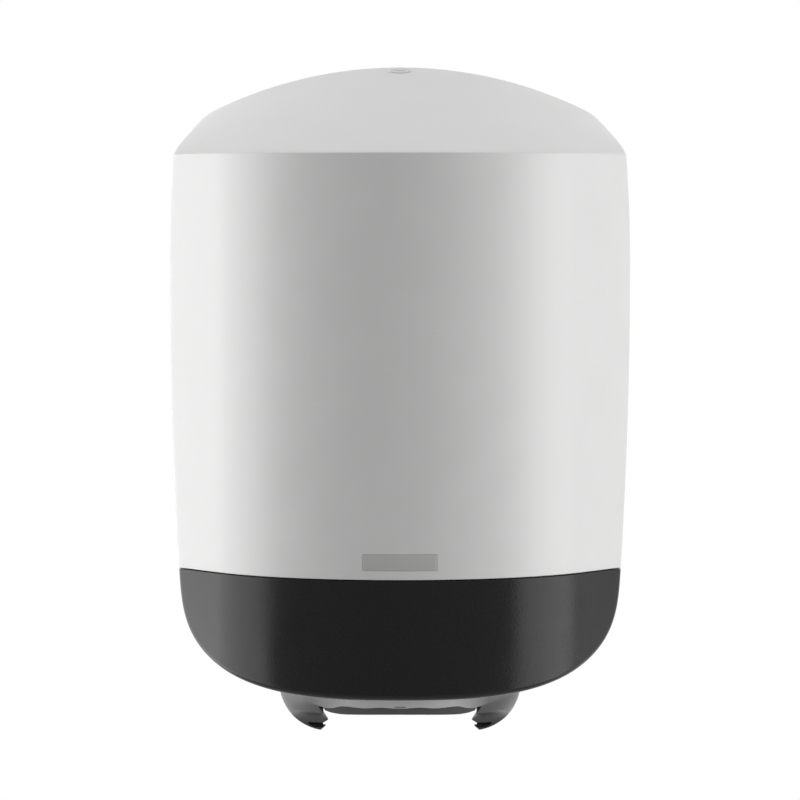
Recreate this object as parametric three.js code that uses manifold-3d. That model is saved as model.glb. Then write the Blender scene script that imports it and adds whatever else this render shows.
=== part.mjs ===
// A centrefeed roll dispenser for a wall: a back plate, a front that swings forward on two low hinges,
// and an outlet with two slit tearing claws under it. Millimetres, +Z up, the wall at y = 0 and the
// front towards -Y. Heights are counted from the lowest edge of the dark base while the pieces are made.
import * as THREE from 'three';
import { mergeVertices } from 'three/addons/utils/BufferGeometryUtils.js';
import Module from 'manifold-3d';

const wasm = await Module();
wasm.setup();

// Outer form of the front
const frontDepth = 250;
const frontRadius = 124;
const splayAngle = THREE.MathUtils.degToRad(56);
const widestHalf = 131;
const widestLevel = 235;
const seamLevel = 66;
const seamNarrowing = 5.4;
const ridgeLevel = 300.7;
const ridgeNarrowing = 2.6;
const archTop = 354;
const archRadius = 253;
const shoulderRadius = 19;
const baseRoundPower = 3.4;
const edgeRadius = 6;
const shellWall = 3;
const seamGap = 0.4;
const rimGap = 1.5;

// Clearances between pieces
const fitGap = 0.3;
const runGap = 1;
const overrun = 2;

// Wall plate
const mountLevel = 190;
const plateThickness = 3;
const plateInset = 9;
const plateFoot = 3;
const plateFootRadius = 68;
const flangeWidth = 2.4;
const flangeDepth = 9;
const flangeStart = 64;
const ribWidth = 2;
const ribDepth = 7;
const ribSpread = 46;
const crossRibLevels = [96, 180, 264];
const keyholeSpread = 80;
const keyholeLevels = [118, 286];
const keyholeRadius = 5.2;
const keySlotRadius = 2.7;
const keySlotRise = 10;
const padRadius = 11;
const padRise = 2;

// Hinge
const hingeOff = 14;
const hingeLevel = 9.5;
const lugSpread = 50;
const lugWidth = 6;
const lugRadius = 6.2;
const bushRadius = 4.4;
const pinRadius = 2.5;
const pinHeadRadius = 4;
const pinHeadLength = 1.8;
const earWidth = 6;
const earRadius = 5.6;

// Base shell, its tongue, posts and the outlet's seat
const tongueWall = 2.2;
const tongueDrop = 8;
const tongueRise = 3.2;
const postRadius = 4.5;
const frontPostClear = 9;
const frontPostAngle = THREE.MathUtils.degToRad(35);
const rearPostClear = 16.6;
const rearPostOff = 32;
const rearPostDrop = 19;
const rearWebWidth = 4;
const tabThickness = 3;
const seatLevel = 9.5;
const seatWidth = 9.6;

// Self-tapping screws
const screwRadius = 1.5;
const screwLength = 12;
const screwHeadRadius = 3.4;
const screwHeadHeight = 2;
const driveRadius = 1.1;
const driveDepth = 1.2;

// Roll shelf
const shelfLevel = 22;
const shelfThickness = 6;
const shelfClear = 16;
const shelfHoleRadius = 64;
const shelfLip = 7;
const shelfFloor = 3.2;
const shelfPostInset = 13;
const shelfScrewCount = 4;
const shelfRibCount = 8;
const shelfPostRadius = 5.4;
const shelfRimWidth = 3;
const shelfRimRise = 5;

// Outlet nozzle with its claws
const nozzleRadius = 70;
const nozzleBend = 29;
const nozzleBendLevel = -2.2;
const nozzleBendEnd = -82;
const nozzleFlangeRadius = 78.5;
const nozzleFlangeThickness = 2.5;
const nozzleScrewReach = 75;
const nozzleScrewCount = 3;
const nozzleScrewLength = 5;
const nozzleScrewHead = 2.8;
const funnelTopRadius = 66;
const brakeSeatRadius = 30;
const webUnderside = -14.2;
const webThickness = 3;
const outletRadius = 20;
const wellRise = 6;
const clawHalf = 44.3;
const upperToothHalf = 41.5;
const upperToothLevel = -24.5;
const toothRootLevel = -20.9;
const slitTop = -26.2;
const slitHeight = 1.7;
const slitDepth = 8.4;
const slitEndTop = -25.6;
const slitEndHeight = 0.7;
const slitTilt = THREE.MathUtils.degToRad(12);
const lowerToothHalf = 42.8;
const lowerToothLevel = -28;
const clawTipHalf = 45.9;
const clawTipLevel = -30.5;
const clawRootDepth = 46;
const clawTipDepth = 3.5;
const clawFlarePower = 4;
const lipLevel = -10;
const lipStep = 0.3;

// Paper brake and its ring
const brakeRadius = 28.6;
const brakeThickness = 2.2;
const brakeHoleRadius = 6;
const brakeSlitReach = 17;
const brakeSlitWidth = 1;
const brakeSlits = 8;
const ringThickness = 2.4;
const ringInnerRadius = 20.5;
const ringScrewReach = 24.7;
const ringScrewCount = 3;
const ringScrewLength = 5;
const ringScrewHead = 2.4;
const ringScrewRadius = 1;

// Badge plate, left bare
const badgeWidth = 41.5;
const badgeHeight = 9;
const badgeLevel = 70.9;
const badgeThickness = 0.6;
const badgeProud = 0.1;

// Lock in the top
const lockOff = 13.5;
const bezelRadius = 6.6;
const bezelThickness = 1;
const bezelTubeRadius = 5.4;
const barrelRadius = 4.3;
const barrelFaceRadius = 4.9;
const keySlotLength = 7;
const keySlotWidth = 1.6;
const keySlotDepth = 3;
const lockNutRadius = 7.4;
const lockNutThickness = 2.6;
const camDrop = 10.5;
const camThickness = 2.2;
const camHubRadius = 3.2;
const camReach = 7;
const camWidth = 4.6;
const catchInner = 4.2;
const catchOuter = 14;
const catchThickness = 2.2;
const catchHeight = 11;
const camScrewHead = 2.4;

// Fineness of the curves
const roundSteps = 36;
const lockSteps = 18;
const tinySteps = 8;
const smallSteps = 10;
const levelShares = [0, 0.25, 0.5, 0.72, 0.9, 1];
const topSteps = 3;
const cornerSteps = 3;
const splaySteps = 4;
const frontSteps = 8;
const stationSteps = 16;
const stationPower = 1.4;
const archSteps = 8;
const flankSteps = 6;
const hingeSteps = 14;
const plainEdges = { bevelEnabled: false, curveSegments: 7 };

const axisCentre = frontDepth - frontRadius;
const frontPostReach = frontRadius - shellWall - frontPostClear;
const rearPostHalf = sideHalf(seamLevel) - shellWall - rearPostClear;
const shelfRadius = Math.min(frontRadius, sideHalf(seamLevel)) - shellWall - shelfClear;
const shelfPostReach = shelfRadius - shelfPostInset;
const topSlope = (archTop - ridgeLevel) / (frontDepth - rimGap);
const topTilt = Math.atan(topSlope);

function lerp(from, to, share) {
  return from + (to - from) * share;
}

/** Half-width of the side walls at a height, before the base rounds in. */
function sideHalf(level) {
  if (level > widestLevel) {
    const rise = (Math.min(level, ridgeLevel) - widestLevel) / (ridgeLevel - widestLevel);
    return widestHalf - ridgeNarrowing * rise ** 2;
  }
  const drop = (widestLevel - level) / (widestLevel - seamLevel);
  return widestHalf - seamNarrowing * drop ** 2;
}

/** Distance of the front from the wall at x, for the front set back by inset, and the way it faces. */
function frontAt(x, inset) {
  const radius = frontRadius - inset;
  const side = Math.abs(x);
  const bendEnd = radius * Math.sin(splayAngle);
  if (side <= bendEnd) {
    const angle = Math.asin(side / radius);
    return { off: axisCentre + radius * Math.cos(angle), angle };
  }
  const off = axisCentre + radius * Math.cos(splayAngle) - (side - bendEnd) * Math.tan(splayAngle);
  return { off, angle: splayAngle };
}

/** The arched rear outline, inset from the outer one: its radii and the middle of its shoulder's round. */
function archForm(inset) {
  const radius = archRadius - inset;
  const shoulder = Math.max(shoulderRadius - inset, fitGap);
  const across = sideHalf(ridgeLevel - inset) - inset - shoulder;
  const middle = archTop - archRadius;
  const up = middle + Math.sqrt((radius - shoulder) ** 2 - across ** 2);
  return { radius, shoulder, across, middle, up, turn: Math.atan2(up - middle, across) };
}

/** Right half of that outline as x and level: round the shoulder from the side, then over to the middle. */
function archHalf(inset, shoulderSteps, shares) {
  const { radius, shoulder, across, middle, up, turn } = archForm(inset);
  const points = [];
  for (let step = 0; step <= shoulderSteps; step += 1) {
    const angle = turn * step / shoulderSteps;
    points.push([across + shoulder * Math.cos(angle), up + shoulder * Math.sin(angle)]);
  }
  for (const share of shares) {
    const angle = lerp(turn, Math.PI / 2, share);
    points.push([radius * Math.cos(angle), middle + radius * Math.sin(angle)]);
  }
  return points;
}

/** Triangles of a grid of points, given as rows of equal length. */
function patch(rows, flip = false) {
  const triangles = [];
  for (let i = 0; i + 1 < rows.length; i += 1) {
    for (let j = 0; j + 1 < rows[i].length; j += 1) {
      const [a, b, c, d] = [rows[i][j], rows[i][j + 1], rows[i + 1][j + 1], rows[i + 1][j]];
      triangles.push(flip ? [a, c, b] : [a, b, c]);
      triangles.push(flip ? [a, d, c] : [a, c, d]);
    }
  }
  return triangles;
}

/** Triangles that close a ring of points round a middle point. */
function fan(middle, ring) {
  return ring.map((point, index) => [middle, point, ring[(index + 1) % ring.length]]);
}

/** A closed geometry from triangles whose corners coincide where they meet. */
function closed(triangles) {
  const positions = [];
  for (const triangle of triangles) {
    const [a, b, c] = triangle.map((point) => new THREE.Vector3(...point));
    const thin = a.distanceTo(b) < 1e-4 || b.distanceTo(c) < 1e-4 || c.distanceTo(a) < 1e-4;
    if (!thin) {
      positions.push(...a, ...b, ...c);
    }
  }
  const geometry = new THREE.BufferGeometry();
  geometry.setAttribute('position', new THREE.Float32BufferAttribute(positions, 3));
  return mergeVertices(geometry, 1e-4);
}

/** A geometry as a solid that can be cut and joined. */
function solid(geometry) {
  const bare = geometry.clone();
  bare.deleteAttribute('normal');
  bare.deleteAttribute('uv');
  const merged = mergeVertices(bare, 1e-4);
  const triVerts = new Uint32Array(merged.index.array);
  const vertProperties = new Float32Array(merged.attributes.position.array);
  return new wasm.Manifold(new wasm.Mesh({ numProp: 3, vertProperties, triVerts }));
}

function joined(...geometries) {
  return geometries.map(solid).reduce((whole, next) => whole.add(next));
}

function without(whole, ...geometries) {
  return geometries.map(solid).reduce((rest, next) => rest.subtract(next), whole);
}

function shapeOf(whole) {
  const mesh = whole.getMesh();
  const geometry = new THREE.BufferGeometry();
  geometry.setAttribute('position', new THREE.BufferAttribute(new Float32Array(mesh.vertProperties), 3));
  geometry.setIndex(new THREE.BufferAttribute(new Uint32Array(mesh.triVerts), 1));
  return geometry;
}

function block(left, right, back, front, bottom, top) {
  const geometry = new THREE.BoxGeometry(right - left, back - front, top - bottom);
  return geometry.translate((left + right) / 2, (back + front) / 2, (bottom + top) / 2);
}

/** A round bar along Z. */
function bar(x, y, radius, bottom, top, steps = smallSteps) {
  const geometry = new THREE.CylinderGeometry(radius, radius, top - bottom, steps);
  return geometry.rotateX(Math.PI / 2).translate(x, y, (bottom + top) / 2);
}

/** A round bar along X. */
function crossBar(left, right, y, z, radius, steps = hingeSteps) {
  const geometry = new THREE.CylinderGeometry(radius, radius, right - left, steps);
  return geometry.rotateZ(Math.PI / 2).translate((left + right) / 2, y, z);
}

/** An outline in x and z, carried from y = back towards the front. */
function fromBack(shape, back, thickness) {
  const geometry = new THREE.ExtrudeGeometry(shape, { depth: thickness, ...plainEdges });
  return geometry.rotateX(Math.PI / 2).translate(0, back, 0);
}

/** An outline in y and z, carried along X. */
function fromSide(shape, left, right) {
  const geometry = new THREE.ExtrudeGeometry(shape, { depth: right - left, ...plainEdges });
  const turn = new THREE.Matrix4().makeBasis(
    new THREE.Vector3(0, 1, 0), new THREE.Vector3(0, 0, 1), new THREE.Vector3(1, 0, 0));
  return geometry.applyMatrix4(turn).translate(left, 0, 0);
}

/** A turned piece about the vertical line through x, y; the outline is a closed ring of [radius, z]. */
function turned(outline, x, y, steps = roundSteps) {
  const points = [...outline, outline[0]].map(([radius, level]) => new THREE.Vector2(radius, level));
  const geometry = new THREE.LatheGeometry(points, steps);
  return geometry.rotateX(Math.PI / 2).translate(x, y, 0);
}

/** Points round an arc in any plane, as [across, up]. */
function arc(across, up, radius, from, to, steps) {
  return Array.from({ length: steps + 1 }, (_, index) => {
    const angle = THREE.MathUtils.degToRad(lerp(from, to, index / steps));
    return [across + radius * Math.cos(angle), up + radius * Math.sin(angle)];
  });
}

/** A shape whose outline runs through the points given. */
function outlineShape(points) {
  return new THREE.Shape(points.map(([across, up]) => new THREE.Vector2(across, up)));
}

function mirrored(points) {
  return points.map(([x, ...rest]) => [-x, ...rest]).reverse();
}

/** Right half of a level section of the cover: back along the side, round the corner, to the middle. */
function coverHalfSection(level, inset) {
  const half = sideHalf(level);
  const centre = half - edgeRadius;
  const corner = frontAt(centre, edgeRadius);
  const points = [];
  for (let step = 0; step <= topSteps; step += 1) {
    points.push([half - inset, -lerp(rimGap, corner.off, step / topSteps)]);
  }
  for (let step = 1; step <= cornerSteps; step += 1) {
    const angle = lerp(Math.PI / 2, corner.angle, step / cornerSteps);
    const reach = edgeRadius - inset;
    points.push([centre + reach * Math.sin(angle), -(corner.off + reach * Math.cos(angle))]);
  }
  const bend = (frontRadius - inset) * Math.sin(corner.angle);
  const [splayEnd] = points[points.length - 1];
  for (let step = 1; step < splaySteps; step += 1) {
    const x = lerp(splayEnd, bend, step / splaySteps);
    points.push([x, -frontAt(x, inset).off]);
  }
  for (let step = 0; step <= frontSteps; step += 1) {
    const angle = lerp(corner.angle, 0, step / frontSteps);
    const radius = frontRadius - inset;
    points.push([radius * Math.sin(angle), -(axisCentre + radius * Math.cos(angle))]);
  }
  return points;
}

/** A whole row from its right half, which runs from the side to the middle. */
function wholeRow(half) {
  return [...mirrored(half).reverse().slice(0, -1), ...[...half].reverse()];
}

/** Rows of the cover's walls and top, inset from the outer face. The sides rise towards the wall. */
function coverRows(inset, foot) {
  const ridge = coverHalfSection(ridgeLevel - inset, inset);
  const walls = levelShares.map((share) => {
    const level = lerp(foot, ridgeLevel - inset, share);
    return wholeRow(coverHalfSection(level, inset).map(([x, y]) => [x, y, level]));
  });
  const { up } = archForm(inset);
  const rim = wholeRow(ridge.map(([x, y], index) =>
    [x, y, lerp(up, ridgeLevel - inset, Math.min(index / topSteps, 1))]));
  walls[walls.length - 1] = rim;
  const front = ridge.slice(topSteps + cornerSteps);
  const shares = front.slice(1).map(([x]) => 1 - x / front[0][0]);
  const rear = wholeRow(archHalf(inset, cornerSteps, shares).map(([x, level]) => [x, -rimGap, level]));
  const start = rim.slice(topSteps, -topSteps);
  const top = [];
  for (let step = 0; step <= topSteps; step += 1) {
    const share = step / topSteps;
    top.push(start.map((point, index) => point.map((value, axis) => lerp(value, rear[index][axis], share))));
  }
  return { walls, top };
}

/** The open edge of the cover at the wall: up one side, over the arch and down the other. */
function coverRearEdge({ walls, top }) {
  const left = walls.map((row) => row[0]);
  const right = walls.map((row) => row[row.length - 1]).reverse();
  return [...left, ...top[top.length - 1].slice(1, -1), ...right];
}

function coverShell() {
  const foot = seamLevel + seamGap / 2;
  const outer = coverRows(0, foot);
  const inner = coverRows(shellWall, foot);
  const shell = closed([
    ...patch(outer.walls),
    ...patch(outer.top),
    ...patch(inner.walls, true),
    ...patch(inner.top, true),
    ...patch([outer.walls[0], inner.walls[0]], true),
    ...patch([coverRearEdge(outer), coverRearEdge(inner)]),
  ]);
  const tabs = screwPlaces().map((place) => coverTab(place));
  const holes = screwPlaces().map(({ x, y }) =>
    bar(x, y, screwRadius + fitGap, tabLevel - overrun, tabLevel + tabThickness + overrun));
  const recess = badgeBlock(frontRadius + overrun, fitGap, badgeProud - badgeThickness - fitGap);
  const lockHole = onLockAxis(bar(0, 0, bezelTubeRadius + fitGap, -camDrop, camDrop));
  return shapeOf(without(joined(shell, ...tabs), recess, lockHole, ...holes));
}

/** Places of the four screws that hold the cover on the base, with the way to the nearest wall. */
function screwPlaces() {
  const places = [];
  for (const side of [-1, 1]) {
    places.push({
      x: side * frontPostReach * Math.sin(frontPostAngle),
      y: -(axisCentre + frontPostReach * Math.cos(frontPostAngle)),
      turn: -side * frontPostAngle,
      reach: frontRadius - shellWall / 2 - frontPostReach,
    });
    places.push({
      x: side * rearPostHalf,
      y: -rearPostOff,
      turn: -side * Math.PI / 2,
      reach: sideHalf(seamLevel) - shellWall / 2 - rearPostHalf,
    });
  }
  return places;
}

const tongueTop = seamLevel + tongueRise;
const postTop = tongueTop + fitGap;
const tabLevel = postTop + fitGap;

/** A tab that stands out from the cover's inner wall and ends round about the screw. */
function coverTab({ x, y, turn, reach }) {
  const stem = new THREE.BoxGeometry(2 * (postRadius + fitGap), reach, tabThickness);
  stem.translate(0, -reach / 2, tabThickness / 2);
  const tab = shapeOf(joined(stem, bar(0, 0, postRadius + fitGap, 0, tabThickness)));
  return tab.rotateZ(-turn).translate(x, y, tabLevel);
}

/** A curved block on the front, as wide as the badge and a gap, from a radius in to a depth. */
function badgeBlock(outerRadius, gap, depth) {
  const half = (badgeWidth / 2 + gap) / frontRadius;
  const shape = new THREE.Shape();
  shape.absarc(0, 0, outerRadius, -Math.PI / 2 - half, -Math.PI / 2 + half, false);
  shape.absarc(0, 0, frontRadius + depth, -Math.PI / 2 + half, -Math.PI / 2 - half, true);
  const height = badgeHeight + 2 * gap;
  const geometry = new THREE.ExtrudeGeometry(shape, { depth: height, ...plainEdges });
  return geometry.translate(0, -axisCentre, badgeLevel - gap);
}

/** One station of the base, from the wall to the front edge and up to the seam; closer in the middle. */
function baseStation(share, inset, sideSign, top) {
  const angle = (1 - (1 - share) ** stationPower) * Math.PI / 2;
  const power = 2 / baseRoundPower;
  const placeAt = (turn) => {
    const drop = Math.sin(turn) ** power;
    const level = seamLevel * (1 - drop);
    return [sideHalf(level) * Math.max(Math.cos(turn), 0) ** power, level];
  };
  const step = 1e-4;
  const [x, level] = placeAt(angle);
  const [before, after] = [placeAt(Math.max(angle - step, 0)), placeAt(Math.min(angle + step, Math.PI / 2))];
  const along = new THREE.Vector2(after[0] - before[0], after[1] - before[1]).normalize();
  const normal = share === 0 ? new THREE.Vector2(1, 0) : new THREE.Vector2(-along.y, along.x);
  if (share === 1) {
    normal.set(0, -1);
  }
  const centreX = Math.max(x - edgeRadius * normal.x, 0);
  const centreZ = level - edgeRadius * normal.y;
  const front = frontAt(centreX, edgeRadius);
  const side = new THREE.Vector3(normal.x, 0, normal.y);
  const ahead = new THREE.Vector3(Math.sin(front.angle), -Math.cos(front.angle), 0);
  const reach = edgeRadius - inset;
  const skin = [[centreX + reach * side.x, -baseRear(level), centreZ + reach * side.z]];
  const spread = side.angleTo(ahead);
  for (let part = 0; part <= cornerSteps; part += 1) {
    const turn = spread * part / cornerSteps;
    const from = Math.sin(spread - turn) / Math.sin(spread);
    const to = Math.sin(turn) / Math.sin(spread);
    skin.push([
      centreX + reach * (from * side.x + to * ahead.x),
      -front.off + reach * (from * side.y + to * ahead.y),
      centreZ + reach * (from * side.z + to * ahead.z),
    ]);
  }
  const last = skin[skin.length - 1];
  skin.push([last[0], last[1], top]);
  return skin.map(([px, py, pz]) => [sideSign * px, py, Math.min(pz, top)]);
}

/** How far the base's rear edge stays from the wall: its heel is rounded about the hinge. */
function baseRear(level) {
  const drop = hingeLevel - level;
  if (drop <= 0) {
    return rimGap;
  }
  const heel = hingeOff - plateThickness - runGap;
  const reach = Math.sqrt(Math.max(heel ** 2 - drop ** 2, 0));
  return Math.max(hingeOff - reach, rimGap);
}

/** Rows of the base's skin: each row runs from the left side under the bottom to the right side. */
function baseRows(inset) {
  const top = seamLevel - seamGap / 2;
  const stations = [];
  for (let step = 0; step <= stationSteps; step += 1) {
    stations.push(baseStation(step / stationSteps, inset, -1, top));
  }
  for (let step = stationSteps - 1; step >= 0; step -= 1) {
    stations.push(baseStation(step / stationSteps, inset, 1, top));
  }
  return stations[0].map((_, row) => stations.map((station) => station[row]));
}

/** The base's edge at the seam, from the left rear corner round the front to the right rear corner. */
function baseTopEdge(rows) {
  const left = rows.map((row) => row[0]);
  const right = rows.map((row) => row[row.length - 1]).reverse();
  return [...left, ...rows[rows.length - 1].slice(1, -1), ...right];
}

/** The whole room that the base takes up, inset from its outer face. */
function baseBulk(inset) {
  const rows = baseRows(inset);
  const top = seamLevel - seamGap / 2;
  const edge = baseTopEdge(rows);
  const rear = rows[0];
  return closed([
    ...patch(rows),
    ...fan([0, -axisCentre, top], edge),
    ...fan([0, -hingeOff, top / 2], [...rear].reverse()),
  ]);
}

/** A band that follows the walls between two insets, open at the wall. */
function wallBand(outerInset, innerInset, bottom, top) {
  const outer = wholeRow(coverHalfSection(seamLevel, outerInset));
  const inner = wholeRow(coverHalfSection(seamLevel, innerInset));
  const at = (points, level) => points.map(([x, y]) => [x, y, level]);
  const ends = (index) => [
    [[...outer[index], bottom], [...inner[index], bottom]],
    [[...outer[index], top], [...inner[index], top]],
  ];
  return closed([
    ...patch([at(outer, bottom), at(outer, top)]),
    ...patch([at(inner, bottom), at(inner, top)], true),
    ...patch([at(outer, top), at(inner, top)]),
    ...patch([at(outer, bottom), at(inner, bottom)], true),
    ...patch(ends(0), true),
    ...patch(ends(outer.length - 1)),
  ]);
}

/** What is cut out of a post for a screw that goes down into it from its top. */
function screwHole(x, y, top, length) {
  return bar(x, y, screwRadius + fitGap, top - length - runGap, top + overrun);
}

function baseShell() {
  const outer = baseRows(0);
  const inner = baseRows(shellWall);
  const shell = closed([
    ...patch(outer),
    ...patch(inner, true),
    ...patch([baseTopEdge(outer), baseTopEdge(inner)]),
    ...patch([outer[0], inner[0]], true),
  ]);
  const tongueFoot = seamLevel - tongueDrop;
  const tongueOuter = shellWall + fitGap;
  const tongueRoot = wallBand(shellWall / 2, tongueOuter + tongueWall, tongueFoot, seamLevel - seamGap);
  const tongue = wallBand(tongueOuter, tongueOuter + tongueWall, tongueFoot, tongueTop);
  const seat = solid(turned([
    [nozzleRadius - overrun, -edgeRadius],
    [nozzleRadius + seatWidth, -edgeRadius],
    [nozzleRadius + seatWidth, seatLevel],
    [nozzleRadius - overrun, seatLevel],
  ], 0, -axisCentre)).intersect(solid(baseBulk(shellWall / 2)));
  const hingeRoom = crossBar(-widestHalf, widestHalf, -hingeOff, hingeLevel, pinHeadRadius + runGap);
  const posts = [];
  const holes = [];
  for (const { x, y } of screwPlaces()) {
    const front = Math.abs(x) < rearPostHalf;
    posts.push(bar(x, y, postRadius, front ? postFoot : seamLevel - rearPostDrop, postTop));
    holes.push(screwHole(x, y, postTop, screwLength));
    if (!front) {
      const wallSide = Math.sign(x) * (sideHalf(seamLevel) - shellWall * 0.75);
      posts.push(block(Math.min(x, wallSide), Math.max(x, wallSide), y + rearWebWidth / 2,
        y - rearWebWidth / 2, seamLevel - rearPostDrop, seamLevel - seamGap));
    }
  }
  for (const [x, y] of shelfPostPlaces()) {
    posts.push(bar(x, y, shelfPostRadius, postFoot, shelfLevel - fitGap));
    holes.push(screwHole(x, y, shelfLevel - fitGap, screwLength));
  }
  for (const [x, y] of nozzleScrewPlaces()) {
    holes.push(screwHole(x, y, seatLevel, nozzleScrewLength));
  }
  const ears = [-1, 1].map((side) => hingeEar(side));
  const earHoles = [-1, 1].map((side) => {
    const [left, right] = earSpan(side);
    return crossBar(left - overrun, right + overrun, -hingeOff, hingeLevel, pinRadius + fitGap);
  });
  const headRooms = [-1, 1].map((side) => {
    const [left, right] = earSpan(side);
    const length = pinHeadLength + 2 * fitGap;
    const near = side > 0 ? right : left - length;
    return crossBar(near, near + length, -hingeOff, hingeLevel, pinHeadRadius + fitGap);
  });
  const notches = [-1, 1].map((side) => {
    const middle = side * lugSpread;
    const half = lugWidth / 2 + runGap;
    return block(middle - half, middle + half, 0, -(hingeOff + lugRadius + overrun), -edgeRadius, hingeLevel);
  });
  const mouth = bar(0, -axisCentre, nozzleRadius + fitGap, -edgeRadius, seatLevel + overrun, roundSteps);
  const whole = joined(shell, tongueRoot, tongue, ...posts, ...ears).add(without(seat, hingeRoom));
  return shapeOf(without(whole, mouth, ...notches, ...holes, ...earHoles, ...headRooms));
}

const postFoot = shellWall + runGap;

/** Points evenly round the outlet's axis. */
function around(reach, count, start) {
  return Array.from({ length: count }, (_, index) => {
    const angle = start + index * 2 * Math.PI / count;
    return [reach * Math.cos(angle), -axisCentre + reach * Math.sin(angle)];
  });
}

function shelfPostPlaces() {
  return around(shelfPostReach, shelfScrewCount, Math.PI / shelfScrewCount);
}

function nozzleScrewPlaces() {
  return around(nozzleScrewReach, nozzleScrewCount, Math.PI / 2);
}

function ringScrewPlaces() {
  return around(ringScrewReach, ringScrewCount, Math.PI / 2);
}

function earSpan(side) {
  const near = lugSpread + lugWidth / 2 + runGap + fitGap;
  const far = near + earWidth;
  return side > 0 ? [near, far] : [-far, -near];
}

/** An ear of the base that stands on its floor and is round about the hinge. */
function hingeEar(side) {
  const [left, right] = earSpan(side);
  const shape = outlineShape([
    [-(hingeOff + earRadius), shellWall / 2 + runGap],
    ...arc(-hingeOff, hingeLevel, earRadius, 180, 0, 10),
    [-(hingeOff - earRadius), shellWall / 2 + runGap],
  ]);
  return fromSide(shape, left, right);
}

/** Right side of the wall plate's outline, from the middle of its foot up to the top of the arch. */
function plateOutline(inset) {
  const edge = plateInset + inset;
  const footHalf = sideHalf(seamLevel) - edge;
  const bend = plateFootRadius - inset;
  const foot = plateFoot + inset;
  const right = [[0, foot], ...arc(footHalf - bend, foot + bend, bend, -90, 0, 7)];
  for (const share of levelShares.slice(1)) {
    const level = lerp(foot + bend, ridgeLevel - edge, share);
    right.push([sideHalf(level) - edge, level]);
  }
  const shares = Array.from({ length: archSteps }, (_, index) => (index + 1) / archSteps);
  right.push(...archHalf(edge, cornerSteps, shares));
  return right;
}

function plateShape(inset) {
  const right = plateOutline(inset);
  return outlineShape([...right, ...mirrored(right).slice(1, -1)]);
}

function keyhole(x, level) {
  const hole = new THREE.Path();
  const flank = Math.asin(keySlotRadius / keyholeRadius);
  hole.absarc(x, level, keyholeRadius, Math.PI / 2 + flank, Math.PI / 2 - flank, false);
  hole.absarc(x, level + keySlotRise, keySlotRadius, 0, Math.PI, false);
  return hole;
}

function wallPlate() {
  const outer = plateShape(0);
  const panel = fromBack(outer, 0, plateThickness);
  const ring = plateShape(0);
  ring.holes.push(new THREE.Path(plateShape(flangeWidth).getPoints()));
  const flange = without(
    solid(fromBack(ring, -plateThickness / 2, flangeDepth)),
    block(-widestHalf, widestHalf, overrun, -frontDepth, -overrun, flangeStart),
    block(-catchOuter - bezelRadius, catchOuter + bezelRadius, overrun - plateThickness, -frontDepth,
      ridgeLevel, archTop));
  const ribBack = -plateThickness / 2;
  const ribFront = -plateThickness - ribDepth;
  const ribs = [-1, 1].map((side) => block(side * ribSpread - ribWidth / 2, side * ribSpread + ribWidth / 2,
    ribBack, ribFront, hingeLevel + lugRadius * 2, ridgeLevel + ribSpread / 2));
  for (const level of crossRibLevels) {
    const half = sideHalf(level) - plateInset - flangeWidth / 2;
    ribs.push(block(-half, half, ribBack, ribFront, level - ribWidth / 2, level + ribWidth / 2));
  }
  const places = keyholeLevels.flatMap((level) => [-1, 1].map((side) => [side * keyholeSpread, level]));
  const pads = places.map(([x, level]) => {
    const shape = new THREE.Shape();
    shape.absarc(x, level + keySlotRise, padRadius, 0, Math.PI, false);
    shape.absarc(x, level, padRadius, Math.PI, 2 * Math.PI, false);
    return fromBack(shape, ribBack, plateThickness / 2 + padRise);
  });
  const lugs = [-1, 1].map((side) => hingeLug(side));
  const holes = places.map(([x, level]) => {
    const shape = new THREE.Shape(keyhole(x, level).getPoints(8));
    return fromBack(shape, overrun, plateThickness + padRise + 2 * overrun);
  });
  const bushHoles = [-1, 1].map((side) => crossBar(side * lugSpread - lugWidth, side * lugSpread + lugWidth,
    -hingeOff, hingeLevel, bushRadius + fitGap));
  const whole = joined(panel, ...ribs, ...pads, ...lugs, ...latchCatch()).add(flange);
  return shapeOf(without(whole, ...holes, ...bushHoles));
}

/** A lug of the wall plate that carries the hinge's bush. */
function hingeLug(side) {
  const back = -plateThickness / 2;
  const shape = outlineShape([
    [back, hingeLevel - lugRadius],
    [back, hingeLevel + 2 * lugRadius],
    [-plateThickness, hingeLevel + 2 * lugRadius],
    ...arc(-hingeOff, hingeLevel, lugRadius, 60, 270, 12),
  ].reverse());
  return fromSide(shape, side * lugSpread - lugWidth / 2, side * lugSpread + lugWidth / 2);
}

const camLevel = lockPoint(camDrop)[2];
const camOff = -lockPoint(camDrop)[1];

/** The point of the lock's axis that lies a given way under the top's face. */
function lockPoint(drop) {
  const face = lerp(ridgeLevel, archTop, (frontDepth - lockOff) / (frontDepth - rimGap));
  return [0, -lockOff + drop * Math.sin(topTilt), face - drop * Math.cos(topTilt)];
}

/** Turns a piece made about the Z axis, with the top's face at z = 0, on to the lock's axis. */
function onLockAxis(geometry) {
  return geometry.rotateX(topTilt).translate(...lockPoint(0));
}

/** The catch on the wall plate that the lock's cam turns behind. */
function latchCatch() {
  const front = -(camOff + camWidth / 2 + runGap + catchThickness);
  const top = camLevel + runGap;
  const bottom = top - catchHeight;
  return [
    block(catchInner, catchOuter, front + catchThickness, front, bottom, top),
    block(catchOuter - catchThickness, catchOuter, -plateThickness / 2, front, bottom, top),
  ];
}

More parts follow.
